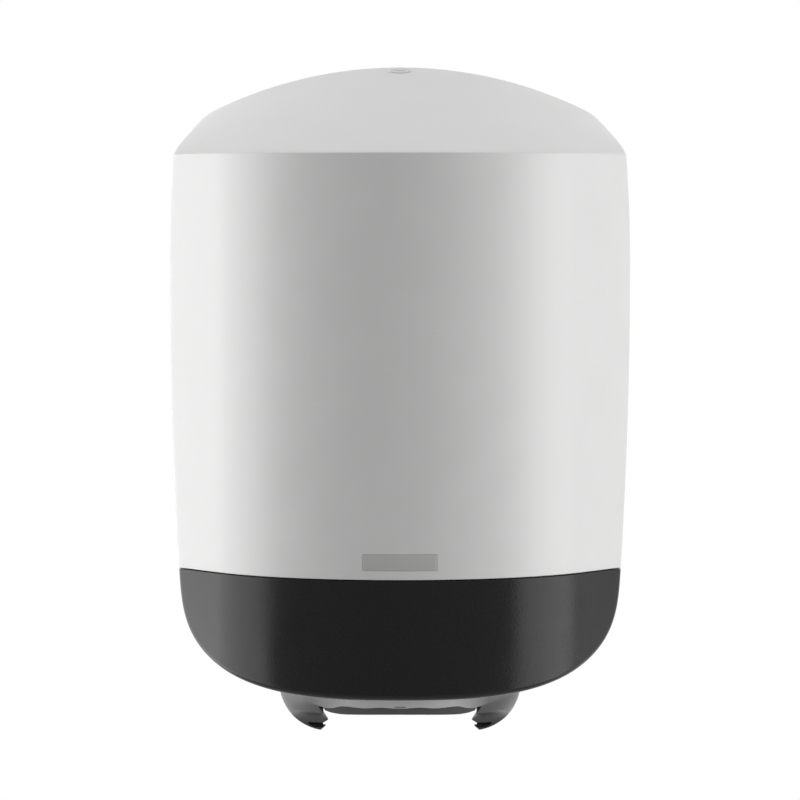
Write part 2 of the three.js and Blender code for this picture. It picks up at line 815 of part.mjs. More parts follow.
/** A self-tapping screw along Z: its head's underside is at seat and its shank points down. */
function screw(x, y, seat, length, radius = screwRadius, headRadius = screwHeadRadius) {
  const headHeight = screwHeadHeight * headRadius / screwHeadRadius;
  const dome = arc(0, 0, 1, 25, 75, 1).map(([across, up]) =>
    [headRadius * across, seat + headHeight * up]);
  const tip = radius * 1.5;
  const body = turnedFull([
    [0, seat - length], [radius * 0.3, seat - length], [radius, seat - length + tip], [radius, seat],
    [headRadius, seat], ...dome, [0, seat + headHeight],
  ], x, y);
  const drive = driveRadius * headRadius / screwHeadRadius;
  const socket = new THREE.CylinderGeometry(drive, drive, driveDepth * 2 * headHeight / screwHeadHeight, 6);
  socket.rotateX(Math.PI / 2).translate(x, y, seat + headHeight);
  return shapeOf(without(solid(body), socket));
}

/** A turned piece whose outline starts and ends on its axis. */
function turnedFull(outline, x, y, steps = tinySteps) {
  const points = outline.map(([radius, level]) => new THREE.Vector2(radius, level));
  return new THREE.LatheGeometry(points, steps).rotateX(Math.PI / 2).translate(x, y, 0);
}

function rollShelf() {
  const top = shelfLevel + shelfThickness;
  const inner = shelfHoleRadius;
  const rimInner = shelfRadius - shelfRimWidth;
  const disc = turned([
    [inner, shelfLevel - shelfLip],
    [inner + shelfFloor, shelfLevel - shelfLip],
    [inner + shelfFloor, top - shelfFloor],
    [shelfRadius - shelfRimWidth, top - shelfFloor],
    [shelfRadius, top],
    [shelfRadius, top + shelfRimRise],
    [rimInner, top + shelfRimRise],
    [rimInner - shelfRimWidth, top],
    ...arc(inner + shelfFloor, top - shelfFloor, shelfFloor, 90, 180, 3),
  ], 0, -axisCentre);
  const cups = shelfPostPlaces().map(([x, y]) =>
    bar(x, y, screwHeadRadius + shelfFloor, shelfLevel, top - runGap));
  const sinks = shelfPostPlaces().map(([x, y]) =>
    bar(x, y, screwHeadRadius + fitGap, shelfScrewSeat - fitGap, top + overrun));
  const holes = shelfPostPlaces().map(([x, y]) =>
    bar(x, y, screwRadius + fitGap, shelfLevel - overrun, top));
  const ribs = around(shelfRadius, shelfRibCount, 0).map((_, index) => {
    const length = shelfRadius - shelfRimWidth - inner - shelfFloor;
    const rib = new THREE.BoxGeometry(length, ribWidth, shelfThickness - runGap);
    rib.translate(inner + shelfFloor / 2 + length / 2, 0, shelfLevel + shelfThickness / 2 - runGap / 2);
    return rib.rotateZ(index * 2 * Math.PI / shelfRibCount).translate(0, -axisCentre, 0);
  });
  return shapeOf(without(joined(disc, ...cups, ...ribs), ...sinks, ...holes));
}

const shelfScrewSeat = shelfLevel + shelfThickness - shelfFloor;

/** The outline of the room between the claws, in x and z, with their teeth. */
function clawRoom() {
  const deep = clawTipLevel - overrun;
  const right = [
    [0, webUnderside],
    [clawHalf, webUnderside],
    [clawHalf, toothRootLevel],
    [upperToothHalf, upperToothLevel],
    [clawHalf, slitTop],
    [clawHalf, slitTop - slitHeight],
    [lowerToothHalf, lowerToothLevel],
    [clawTipHalf, clawTipLevel],
    [clawTipHalf, deep],
  ];
  return outlineShape([...right, ...mirrored(right).slice(0, -1)].reverse());
}

/** The slit of one claw: it narrows on its way in and rises towards the wall. */
function clawSlit(side) {
  const reach = 2 * clawTipDepth;
  const shape = outlineShape([
    [clawHalf, slitTop - slitHeight],
    [clawHalf + slitDepth, slitEndTop - slitEndHeight],
    [clawHalf + slitDepth, slitEndTop],
    [clawHalf, slitTop],
  ].map(([x, level]) => [side * x, level]));
  const rise = Math.tan(slitTilt);
  const slit = fromBack(shape, reach, 2 * reach);
  slit.applyMatrix4(new THREE.Matrix4().makeShear(0, 0, 0, rise, 0, 0));
  return slit.translate(0, -axisCentre, clawTipDepth * rise);
}

/** The outline, in y and z, of what is cut away in front of the claws or behind them. */
function clawFlank(side) {
  const deep = clawTipLevel - overrun;
  const bend = Array.from({ length: flankSteps + 1 }, (_, index) => {
    const share = index / flankSteps;
    const depth = lerp(clawTipDepth, clawRootDepth, (1 - share) ** clawFlarePower);
    return [-axisCentre + side * depth, lerp(webUnderside, deep, share)];
  });
  const reach = -axisCentre + side * (nozzleRadius + overrun);
  const outline = [...bend, [reach, deep], [reach, webUnderside]];
  return outlineShape(side > 0 ? outline.reverse() : outline);
}

/** What is taken off the bowl's outside under its ring, so that the part with the claws stands back. */
function lipCut() {
  const radius = nozzleBend - lipStep;
  const across = nozzleRadius - nozzleBend;
  const start = THREE.MathUtils.radToDeg(Math.asin((lipLevel - nozzleBendLevel) / radius));
  const inner = arc(across, nozzleBendLevel, radius, start, nozzleBendEnd, 7);
  const [tip] = inner[inner.length - 1];
  return turned([
    [nozzleRadius + overrun, lipLevel], ...inner, [tip, clawTipLevel - overrun],
    [nozzleRadius + overrun, clawTipLevel - overrun],
  ], 0, -axisCentre);
}

/** The bowl that leads the paper out, with its front and rear cut away to leave a claw at each side. */
function outletNozzle() {
  const flangeTop = seatLevel + fitGap + nozzleFlangeThickness;
  const webTop = webUnderside + webThickness;
  const bowl = turned([
    [nozzleFlangeRadius, flangeTop],
    [nozzleFlangeRadius, seatLevel + fitGap],
    [nozzleRadius, seatLevel + fitGap],
    ...arc(nozzleRadius - nozzleBend, nozzleBendLevel, nozzleBend, 0, nozzleBendEnd, 8),
    [upperToothHalf, lowerToothLevel],
    [upperToothHalf, webUnderside],
    [outletRadius, webUnderside],
    [outletRadius, webTop],
    [brakeSeatRadius, webTop],
    [brakeSeatRadius, webTop + wellRise],
    [funnelTopRadius, seatLevel],
    [funnelTopRadius + nozzleFlangeThickness, flangeTop],
  ].reverse(), 0, -axisCentre);
  const room = fromBack(clawRoom(), -axisCentre + frontRadius, 2 * frontRadius);
  const flangeHoles = nozzleScrewPlaces().map(([x, y]) =>
    bar(x, y, screwRadius + fitGap, seatLevel - overrun, flangeTop + overrun));
  const ringHoles = ringScrewPlaces().map(([x, y]) =>
    bar(x, y, ringScrewRadius + fitGap, ringTop - ringScrewLength - runGap, webTop + overrun, tinySteps));
  const flanks = [-1, 1].map((side) => fromSide(clawFlank(side), -frontRadius, frontRadius));
  const slits = [-1, 1].map((side) => clawSlit(side));
  return shapeOf(without(solid(bowl), lipCut(), room, ...flanks, ...slits, ...flangeHoles, ...ringHoles));
}

const brakeFoot = webUnderside + webThickness + fitGap;
const ringFoot = brakeFoot + brakeThickness + fitGap;
const ringTop = ringFoot + ringThickness;

/** The rubber disc that holds the paper back, cut into fingers about its hole. */
function paperBrake() {
  const disc = turned([
    [brakeHoleRadius, brakeFoot], [brakeRadius, brakeFoot],
    [brakeRadius, brakeFoot + brakeThickness], [brakeHoleRadius, brakeFoot + brakeThickness],
  ], 0, -axisCentre);
  const slits = Array.from({ length: brakeSlits }, (_, index) => {
    const slit = new THREE.BoxGeometry(brakeSlitReach, brakeSlitWidth, brakeThickness + overrun);
    slit.translate(brakeSlitReach / 2, 0, 0).rotateZ(index * 2 * Math.PI / brakeSlits);
    return slit.translate(0, -axisCentre, brakeFoot + brakeThickness / 2);
  });
  const holes = ringScrewPlaces().map(([x, y]) =>
    bar(x, y, ringScrewRadius + fitGap, brakeFoot - overrun, ringTop, tinySteps));
  return shapeOf(without(solid(disc), ...slits, ...holes));
}

function brakeRing() {
  const ring = turned([
    [ringInnerRadius, ringFoot], [brakeRadius, ringFoot],
    [brakeRadius, ringTop], [ringInnerRadius + ringThickness / 2, ringTop],
    [ringInnerRadius, ringTop - ringThickness / 2],
  ], 0, -axisCentre);
  const holes = ringScrewPlaces().map(([x, y]) =>
    bar(x, y, ringScrewRadius + fitGap, ringFoot - overrun, ringTop + overrun, tinySteps));
  return shapeOf(without(solid(ring), ...holes));
}

function hingeBush(side) {
  const outer = crossBar(side * lugSpread - lugWidth / 2, side * lugSpread + lugWidth / 2,
    -hingeOff, hingeLevel, bushRadius);
  const bore = crossBar(side * lugSpread - lugWidth, side * lugSpread + lugWidth,
    -hingeOff, hingeLevel, pinRadius + fitGap);
  return shapeOf(without(solid(outer), bore));
}

function hingePin(side) {
  const inner = lugSpread - lugWidth / 2 - runGap;
  const [near, far] = earSpan(1);
  const head = far + fitGap;
  const shank = crossBar(Math.min(side * inner, side * (head + runGap)),
    Math.max(side * inner, side * (head + runGap)), -hingeOff, hingeLevel, pinRadius);
  const cap = crossBar(Math.min(side * head, side * (head + pinHeadLength)),
    Math.max(side * head, side * (head + pinHeadLength)), -hingeOff, hingeLevel, pinHeadRadius);
  return shapeOf(joined(shank, cap));
}

function lockBezel() {
  const face = fitGap + bezelThickness;
  const outline = [
    [barrelRadius + fitGap, -bezelTubeLength], [bezelTubeRadius, -bezelTubeLength],
    [bezelTubeRadius, fitGap], [bezelRadius, fitGap], [bezelRadius - bezelThickness / 2, face],
    [barrelFaceRadius + fitGap, face], [barrelFaceRadius + fitGap, fitGap - bezelThickness],
    [barrelRadius + fitGap, fitGap - bezelThickness],
  ];
  return onLockAxis(turned(outline, 0, 0, lockSteps));
}

const bezelTubeLength = camDrop - camThickness - fitGap;

function lockBarrel() {
  const face = fitGap + bezelThickness * 0.7;
  const foot = -camDrop + camThickness + fitGap;
  const shoulder = 2 * fitGap - bezelThickness;
  const body = turnedFull([
    [0, foot], [barrelRadius, foot], [barrelRadius, shoulder],
    [barrelFaceRadius, shoulder], [barrelFaceRadius, face], [0, face],
  ], 0, 0, lockSteps);
  const slot = new THREE.BoxGeometry(keySlotLength, keySlotWidth, 2 * keySlotDepth).translate(0, 0, face);
  const pilotTop = -camDrop + camThickness + ringScrewLength;
  const pilot = bar(0, 0, ringScrewRadius + fitGap, -camDrop - overrun, pilotTop, tinySteps);
  return onLockAxis(shapeOf(without(solid(body), slot, pilot)));
}

/** The cam: a tongue on a hub under the barrel. At rest it points to the wall, turned back to let go. */
function lockCam() {
  const shape = new THREE.Shape();
  const half = camWidth / 2;
  const flank = Math.asin(half / (camHubRadius + fitGap));
  shape.absarc(0, 0, camHubRadius + fitGap, Math.PI / 2 + flank, Math.PI / 2 - flank, false);
  shape.lineTo(half, camReach - half);
  shape.absarc(0, camReach - half, half, 0, Math.PI, false);
  const plate = new THREE.ExtrudeGeometry(shape, { depth: camThickness, ...plainEdges });
  plate.translate(0, 0, -camDrop);
  const hole = bar(0, 0, ringScrewRadius + fitGap, -camDrop - overrun, overrun, tinySteps);
  return onLockAxis(shapeOf(without(solid(plate), hole)));
}

/** The screw that holds the cam, head down. */
function camScrew() {
  const body = screw(0, 0, 0, ringScrewLength + camThickness, ringScrewRadius, camScrewHead);
  return onLockAxis(body.rotateX(Math.PI).translate(0, 0, -camDrop - fitGap));
}

function lockNut() {
  const top = -shellWall / Math.cos(topTilt) - fitGap;
  const nut = new THREE.CylinderGeometry(lockNutRadius, lockNutRadius, lockNutThickness, 6);
  nut.rotateX(Math.PI / 2).translate(0, 0, top - lockNutThickness / 2);
  const bore = bar(0, 0, bezelTubeRadius + fitGap, -camDrop, camDrop);
  return onLockAxis(shapeOf(without(solid(nut), bore)));
}

function badgePlate() {
  return badgeBlock(frontRadius + badgeProud, 0, badgeProud - badgeThickness);
}

const finishes = {
  white: { color: 0xe9e9e7, roughness: 0.42, metalness: 0 },
  badge: { color: 0xb9b9b8, roughness: 0.35, metalness: 0 },
  charcoal: { color: 0x2a2a2c, roughness: 0.5, metalness: 0 },
  nozzle: { color: 0x38383b, roughness: 0.25, metalness: 0 },
  grey: { color: 0x9a9b9c, roughness: 0.6, metalness: 0 },
  rubber: { color: 0x1c1c1d, roughness: 0.8, metalness: 0 },
  steel: { color: 0xb5b7b9, roughness: 0.35, metalness: 1 },
  nylon: { color: 0xd8d5cc, roughness: 0.55, metalness: 0 },
};

const dispenser = new THREE.Group();

function place(name, geometry, finish) {
  const ready = geometry.index ? geometry.toNonIndexed() : geometry;
  ready.computeVertexNormals();
  const mesh = new THREE.Mesh(ready, new THREE.MeshStandardMaterial(finishes[finish]));
  mesh.name = name;
  mesh.position.z = -mountLevel;
  dispenser.add(mesh);
}

place('wall_plate', wallPlate(), 'grey');
place('cover_shell', coverShell(), 'white');
place('base_shell', baseShell(), 'charcoal');
place('badge_plate', badgePlate(), 'badge');
place('roll_shelf', rollShelf(), 'grey');
place('outlet_nozzle', outletNozzle(), 'nozzle');
place('paper_brake', paperBrake(), 'rubber');
place('brake_ring', brakeRing(), 'grey');
for (const [side, word] of [[-1, 'left'], [1, 'right']]) {
  place(`hinge_bush_${word}`, hingeBush(side), 'nylon');
  place(`hinge_pin_${word}`, hingePin(side), 'steel');
}
screwPlaces().forEach(({ x, y }, index) => {
  const seat = tabLevel + tabThickness + fitGap;
  place(`cover_screw_${index + 1}`, screw(x, y, seat, screwLength), 'steel');
});
shelfPostPlaces().forEach(([x, y], index) => {
  place(`shelf_screw_${index + 1}`, screw(x, y, shelfScrewSeat, screwLength), 'steel');
});
nozzleScrewPlaces().forEach(([x, y], index) => {
  const seat = seatLevel + nozzleFlangeThickness + 2 * fitGap;
  const ready = screw(x, y, seat, nozzleScrewLength, screwRadius, nozzleScrewHead);
  place(`nozzle_screw_${index + 1}`, ready, 'steel');
});
ringScrewPlaces().forEach(([x, y], index) => {
  const seat = ringTop + fitGap;
  const ready = screw(x, y, seat, ringScrewLength, ringScrewRadius, ringScrewHead);
  place(`ring_screw_${index + 1}`, ready, 'steel');
});
place('lock_bezel', lockBezel(), 'badge');
place('lock_barrel', lockBarrel(), 'badge');
place('lock_cam', lockCam(), 'steel');
place('cam_screw', camScrew(), 'steel');
place('lock_nut', lockNut(), 'steel');

export default dispenser;
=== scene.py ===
"""A centrefeed roll dispenser for a wall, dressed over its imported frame.

Metres, +Z up, the wall at y = 0 and the front towards -Y. Heights named level are counted from the lowest
edge of the dark base, as the part's own drawing counts them, and drop by mount_level on their way in.
"""
import logging
import math
from dataclasses import dataclass
from enum import Enum
from functools import cache
from typing import Callable, Iterable, Sequence

import bmesh
import bpy
from mathutils import Matrix, Vector


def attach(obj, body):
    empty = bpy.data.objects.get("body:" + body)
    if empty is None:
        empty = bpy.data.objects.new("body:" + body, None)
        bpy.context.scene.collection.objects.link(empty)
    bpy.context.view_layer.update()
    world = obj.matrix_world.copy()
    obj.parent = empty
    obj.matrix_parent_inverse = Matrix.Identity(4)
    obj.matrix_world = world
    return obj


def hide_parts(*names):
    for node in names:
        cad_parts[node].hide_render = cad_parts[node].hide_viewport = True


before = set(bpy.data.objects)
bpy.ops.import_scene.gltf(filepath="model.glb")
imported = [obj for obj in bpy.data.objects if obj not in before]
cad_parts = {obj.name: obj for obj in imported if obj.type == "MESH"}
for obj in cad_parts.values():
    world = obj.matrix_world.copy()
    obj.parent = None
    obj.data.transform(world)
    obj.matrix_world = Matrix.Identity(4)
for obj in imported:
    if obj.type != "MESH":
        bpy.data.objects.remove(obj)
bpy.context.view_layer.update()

MM = 0.001

Point = tuple[float, float, float]
Flat = tuple[float, float]
Solid = bpy.types.Object
Socket = bpy.types.NodeSocket

log = logging.getLogger("dispenser")


class Carrier(Enum):
    """The bodies of the frame that a piece can ride on."""

    ROOT = "root"
    FRONT = "front"
    LOCK = "lock"


class Grain(Enum):
    """The textures that a surface can have."""

    SATIN = "satin"
    PEBBLE = "pebble"
    GLOSS = "gloss"
    RUBBED = "rubbed"


class Work(Enum):
    """What tools do to a closed piece."""

    CUT = "DIFFERENCE"
    JOIN = "UNION"
    KEEP = "INTERSECT"


def lerp(start: float, end: float, share: float) -> float:
    """The value that lies a share of the way from start to end."""
    return start + (end - start) * share


def spread(start: float, end: float, steps: int) -> list[float]:
    """Values from start to end in even steps, both ends included."""
    return [lerp(start, end, step / steps) for step in range(steps + 1)]


def stood(name: str, data: bpy.types.ID) -> Solid:
    """Makes an object of the scene.

    Args:
        name: Its name.
        data: Its mesh, lamp or camera.

    Returns:
        The object, at the origin.
    """
    made = bpy.data.objects.new(name, data)
    bpy.context.scene.collection.objects.link(made)
    return made


@dataclass(frozen=True)
class FrontForm:
    """The outer form that cover, base and badge share, with the lines worked out from it."""

    depth: float = 250 * MM
    radius: float = 124 * MM
    splay: float = math.radians(56)
    widest_half: float = 131 * MM
    widest_level: float = 235 * MM
    seam_level: float = 65.5 * MM
    seam_narrowing: float = 5.4 * MM
    ridge_level: float = 300.7 * MM
    ridge_narrowing: float = 2.6 * MM
    arch_top: float = 354 * MM
    arch_radius: float = 253 * MM
    base_power: float = 3.33
    edge_radius: float = 6 * MM
    wall: float = 3 * MM
    seam_gap: float = 0.6 * MM
    rim_gap: float = 1.5 * MM
    mount_level: float = 190 * MM
    fit_gap: float = 0.3 * MM
    run_gap: float = 1 * MM
    overrun: float = 2 * MM
    hinge_off: float = 14 * MM
    hinge_level: float = 9.5 * MM
    plate_thickness: float = 3 * MM
    lock_off: float = 13.5 * MM
    side_steps: int = 24
    corner_steps: int = 10
    splay_steps: int = 16
    front_steps: int = 44

    @property
    def axis(self) -> float:
        """Distance from the wall to the axis of the rounded front and of the outlet."""
        return self.depth - self.radius

    @property
    def top_slope(self) -> float:
        """Rise of the sloping top for each length that it runs back."""
        return (self.arch_top - self.ridge_level) / (self.depth - self.rim_gap)

    def side_half(self, level: float) -> float:
        """Half-width between the side walls at a height.

        Args:
            level: Height above the base's lowest edge.

        Returns:
            Half of the outer width, before the base rounds in.
        """
        if level > self.widest_level:
            rise = (min(level, self.ridge_level) - self.widest_level) / (self.ridge_level - self.widest_level)
            return self.widest_half - self.ridge_narrowing * rise**2
        drop = (self.widest_level - level) / (self.widest_level - self.seam_level)
        return self.widest_half - self.seam_narrowing * drop**2

    def front_at(self, x: float, inset: float) -> Flat:
        """Where the front stands at x, set back by an inset.

        Args:
            x: Place across the front.
            inset: Distance in from the outer face.

        Returns:
            The distance from the wall, and the angle that the front faces away from straight ahead.
        """
        radius = self.radius - inset
        side = abs(x)
        bend = radius * math.sin(self.splay)
        if side <= bend:
            angle = math.asin(side / radius)
            return self.axis + radius * math.cos(angle), angle
        off = self.axis + radius * math.cos(self.splay) - (side - bend) * math.tan(self.splay)
        return off, self.splay

    def arch_at(self, x: float, inset: float) -> float:
        """Height of the arch over the rear edge at x, before its shoulders are rounded."""
        return self.arch_top - self.arch_radius + math.sqrt((self.arch_radius - inset) ** 2 - x**2)

    def ridge_off(self, x: float, inset: float) -> float:
        """Distance from the wall to the ridge's outline at x, round its corners.

        Args:
            x: Place across the front.
            inset: Distance in from the outer face.

        Returns:
            The distance from the wall.
        """
        centre = self.side_half(self.ridge_level) - self.edge_radius
        corner_off, corner_angle = self.front_at(centre, self.edge_radius)
        reach = self.edge_radius - inset
        run = abs(x) - centre
        if run > reach * math.sin(corner_angle):
            return corner_off + math.sqrt(max(reach**2 - run**2, 0))
        return self.front_at(x, inset)[0]

    def top_at(self, x: float, y: float, inset: float) -> float:
        """Height of the sloping top, which is ruled from the ridge back to the arch.

        Args:
            x: Place across the top.
            y: Place along it.
            inset: Distance in from the outer face.

        Returns:
            The level of the top, before its edge is rounded.
        """
        ridge = self.ridge_off(x, inset)
        share = (y + ridge) / (ridge - self.rim_gap)
        return lerp(self.ridge_level - inset, self.arch_at(x, inset), min(max(share, 0), 1))

    def half_section(self, level: float, inset: float) -> list[Flat]:
        """Right half of a level section: along the side, round the corner and over to the middle.

        Args:
            level: Height of the section.
            inset: Distance in from the outer face.

        Returns:
            Points from the rear of the side wall to the middle of the front.
        """
        half = self.side_half(level)
        centre = half - self.edge_radius
        corner_off, corner_angle = self.front_at(centre, self.edge_radius)
        reach = self.edge_radius - inset
        points = [(half - inset, -off) for off in spread(self.rim_gap, corner_off, self.side_steps)]
        for angle in spread(math.pi / 2, corner_angle, self.corner_steps)[1:]:
            points.append((centre + reach * math.sin(angle), -(corner_off + reach * math.cos(angle))))
        radius = self.radius - inset
        bend = radius * math.sin(self.splay)
        for x in spread(points[-1][0], bend, self.splay_steps)[1:-1]:
            points.append((x, -self.front_at(x, inset)[0]))
        for angle in spread(self.splay, 0, self.front_steps):
            points.append((radius * math.sin(angle), -(self.axis + radius * math.cos(angle))))
        return points

    def lock_point(self, drop: float) -> Point:
        """A point of the lock's axis, with its height given as a level.

        Args:
            drop: How far under the top's sloping face it is.

        Returns:
            The point.
        """
        tilt, off = math.atan(self.top_slope), self.lock_off
        face = lerp(self.ridge_level, self.arch_top, (self.depth - off) / (self.depth - self.rim_gap))
        return 0.0, -off + drop * math.sin(tilt), face - drop * math.cos(tilt)

    @property
    def lock_place(self) -> Matrix:
        """Takes a form whose axis is Z, with the top's face at zero, to the lock's place."""
        return Matrix.Translation(self.lock_point(0)) @ Matrix.Rotation(math.atan(self.top_slope), 4, "X")


FORM = FrontForm()


def mirrored(half: list[tuple[float, ...]]) -> list[tuple[float, ...]]:
    """A whole row from its right half, which runs from the wall round to the middle."""
    return [(-x, *rest) for x, *rest in half[:-1]] + half[::-1]


def open_edge(rows: list[list[Point]], last: list[Point]) -> list[Point]:
    """The edge of a skin's opening: along the rows' left ends, a last row and their right ends."""
    return [row[0] for row in rows] + last[1:-1] + [row[-1] for row in rows][::-1]


class Skin:
    """Faces gathered as points, to be made one mesh whose points meet where they coincide."""

    def __init__(self) -> None:
        """Starts with no faces."""
        self.points: dict[tuple[int, int, int], int] = {}
        self.places: list[Point] = []
        self.faces: list[tuple[int, ...]] = []

    def corner(self, point: Sequence[float]) -> int:
        """The index of a point, which is added if nothing lies there yet.

        Args:
            point: The point, with its height given as a level.

        Returns:
            Its index.
        """
        key = tuple(round(value * 1e7) for value in point)
        if key not in self.points:
            self.points[key] = len(self.places)
            self.places.append((point[0], point[1], point[2] - FORM.mount_level))
        return self.points[key]

    def face(self, *points: Sequence[float]) -> None:
        """Adds a face, without the corners that fall together.

        Args:
            *points: Its corners in order.
        """
        corners = [self.corner(point) for point in points]
        kept = [index for place, index in enumerate(corners) if index != corners[place - 1]]
        if len(set(kept)) == len(kept) > 2:
            self.faces.append(tuple(kept))

    def patch(self, rows: Sequence[Sequence[Sequence[float]]]) -> "Skin":
        """Adds a net of four-sided faces through rows of equal length.

        Args:
            rows: The rows.

        Returns:
            The skin.
        """
        for lower, upper in zip(rows, rows[1:]):
            for place in range(len(lower) - 1):
                self.face(lower[place], lower[place + 1], upper[place + 1], upper[place])
        return self

    def fan(self, middle: Sequence[float], ring: Sequence[Sequence[float]]) -> "Skin":
        """Closes a ring of points towards a middle point.

        Args:
            middle: The middle point.
            ring: The ring.

        Returns:
            The skin.
        """
        for place, point in enumerate(ring):
            self.face(middle, point, ring[(place + 1) % len(ring)])
        return self

    def piece(self, name: str) -> Solid:
        """Makes the faces an object of the scene, with its faces pointing outwards.

        Args:
            name: Name of the object.

        Returns:
            The object.
        """
        mesh = bpy.data.meshes.new(name)
        mesh.from_pydata(self.places, [], self.faces)
        work = bmesh.new()
        work.from_mesh(mesh)
        bmesh.ops.recalc_face_normals(work, faces=work.faces)
        work.to_mesh(mesh)
        work.free()
        return stood(name, mesh)


def turned(name: str, outline: Sequence[Flat], x: float, y: float, steps: int,
           place: Matrix | None = None) -> Solid:
    """A turned form about an upright line, or about another line that a matrix takes it to.

    Args:
        name: Name of the object.
        outline: Closed ring of (radius, level) points; points on the axis close it there.
        x: Place of the axis across.
        y: Place of the axis along.
        steps: Number of steps round the form.
        place: Turns and moves the points, which then have the axis through zero.

    Returns:
        The object.
    """
    rows = []
    for step in range(steps + 1):
        angle = 2 * math.pi * (step % steps) / steps
        row = [(x + r * math.cos(angle), y + r * math.sin(angle), level) for r, level in outline]
        if place is not None:
            row = [tuple(place @ Vector(point)) for point in row]
        rows.append([*row, row[0]])
    return Skin().patch(rows).piece(name)


def arc(across: float, up: float, radius: float, start: float, end: float, steps: int) -> list[Flat]:
    """Points round an arc, from one angle in degrees to another."""
    angles = [math.radians(angle) for angle in spread(start, end, steps)]
    return [(across + radius * math.cos(angle), up + radius * math.sin(angle)) for angle in angles]


def circle(across: float, up: float, radius: float, corners: int, start: float = 0) -> list[Flat]:
    """The corners of an even ring, from an angle in degrees."""
    return arc(across, up, radius, start, start + 360, corners)[:-1]


def slotted(across: float, up: float, radius: float, half: float, rise: float, steps: int) -> list[Flat]:
    """A ring that runs up into a slot of a half-width, whose round end is a rise over the ring's middle."""
    flank = math.degrees(math.asin(half / radius))
    return arc(across, up, radius, 90 + flank, 450 - flank, steps) + arc(across, up + rise, half, 0, 180, 16)


def column(radius: float, bottom: float, top: float) -> list[Flat]:
    """The section of a round bar on its axis."""
    return [(0, bottom), (radius, bottom), (radius, top), (0, top)]


def bar(x: float, y: float, radius: float, bottom: float, top: float, steps: int = 40) -> Solid:
    """An upright round bar."""
    return turned("bar", column(radius, bottom, top), x, y, steps)


def prism(name: str, outline: Sequence[Flat], start: float, end: float,
          place: Callable[[float, float, float], Point]) -> Solid:
    """An outline carried along a straight way.

    Args:
        name: Name of the object.
        outline: Closed ring of flat points.
        start: Where the outline starts along the way.
        end: Where it ends.
        place: Turns two flat values and one along the way into a point.

    Returns:
        The object.
    """
    skin = Skin()
    low = [place(across, up, start) for across, up in outline]
    high = [place(across, up, end) for across, up in outline]
    skin.patch([[*low, low[0]], [*high, high[0]]])
    skin.face(*low)
    skin.face(*high)
    return skin.piece(name)


def across(along: float, up: float, way: float) -> Point:
    """Carries an outline in y and z along X."""
    return way, along, up


def backwards(x: float, up: float, way: float) -> Point:
    """Carries an outline in x and z along Y."""
    return x, way, up


def upwards(x: float, y: float, way: float) -> Point:
    """Carries an outline in x and y along Z."""
    return x, y, way


def block(left: float, right: float, back: float, front: float, bottom: float, top: float) -> Solid:
    """A straight-sided block between six faces."""
    outline = [(left, front), (right, front), (right, back), (left, back)]
    return prism("block", outline, bottom, top, upwards)


def settled(piece: Solid) -> Solid:
    """Makes a piece's modifiers part of its mesh, and removes them.

    Args:
        piece: The piece.

    Returns:
        The piece.
    """
    view = bpy.context.evaluated_depsgraph_get()
    mesh = bpy.data.meshes.new_from_object(piece.evaluated_get(view))
    mesh.name = piece.name
    spent = piece.data
    piece.modifiers.clear()
    piece.data = mesh
    bpy.data.meshes.remove(spent)
    return piece


def worked(piece: Solid, tools: Iterable[Solid], work: Work) -> Solid:
    """Cuts tools from a closed piece, joins them to it or keeps what lies in them, and removes the tools.

    Args:
        piece: The closed mesh that is worked on.
        tools: Closed meshes, which are used up.
        work: What the tools do.

    Returns:
        The piece.
    """
    used = list(tools)
    for tool in used:
        step = piece.modifiers.new(tool.name, "BOOLEAN")
        step.solver = "MANIFOLD"
        step.operation = work.value
        step.object = tool
    settled(piece)
    for tool in used:
        bpy.data.meshes.remove(tool.data)
    return piece


def eased(piece: Solid, width: float, angle: float = 40, segments: int = 2,
          wanted: Callable[[Vector], bool] = lambda _: True) -> Solid:
    """Rounds a piece's edges over a width, where they are sharper than an angle in degrees.

    Args:
        piece: The closed piece.
        width: Width of the round to each side of an edge.
        angle: The least angle between two faces whose edge is rounded.
        segments: Faces across the round.
        wanted: Tells from an edge's middle whether it is rounded, which every edge is unless it is given.

    Returns:
        The piece.
    """
    work = bmesh.new()
    work.from_mesh(piece.data)
    weights = work.edges.layers.float.new("bevel_weight_edge")
    for edge in work.edges:
        middle = (edge.verts[0].co + edge.verts[1].co) / 2
        sharp = edge.is_manifold and edge.calc_face_angle(0) > math.radians(angle)
        edge[weights] = float(sharp and wanted(middle))
    work.to_mesh(piece.data)
    work.free()
    step = piece.modifiers.new("round", "BEVEL")
    step.width = width
    step.segments = segments
    step.limit_method = "WEIGHT"
    step.use_clamp_overlap = True
    return settled(piece)


def bevelled(piece: Solid, width: float) -> Solid:
    """Takes a flat bevel of a width off a piece's sharpest edges."""
    return eased(piece, width, angle=60, segments=1)


def shaded(piece: Solid, sharp: float) -> None:
    """Shades a piece smooth, apart from edges that are sharper than an angle in degrees.

    Args:
        piece: The piece.
        sharp: The least angle of an edge that stays sharp.
    """
    work = bmesh.new()
    work.from_mesh(piece.data)
    for face in work.faces:
        face.smooth = True
    for edge in work.edges:
        edge.smooth = not edge.is_manifold or edge.calc_face_angle(0) < math.radians(sharp)
    work.to_mesh(piece.data)
    work.free()


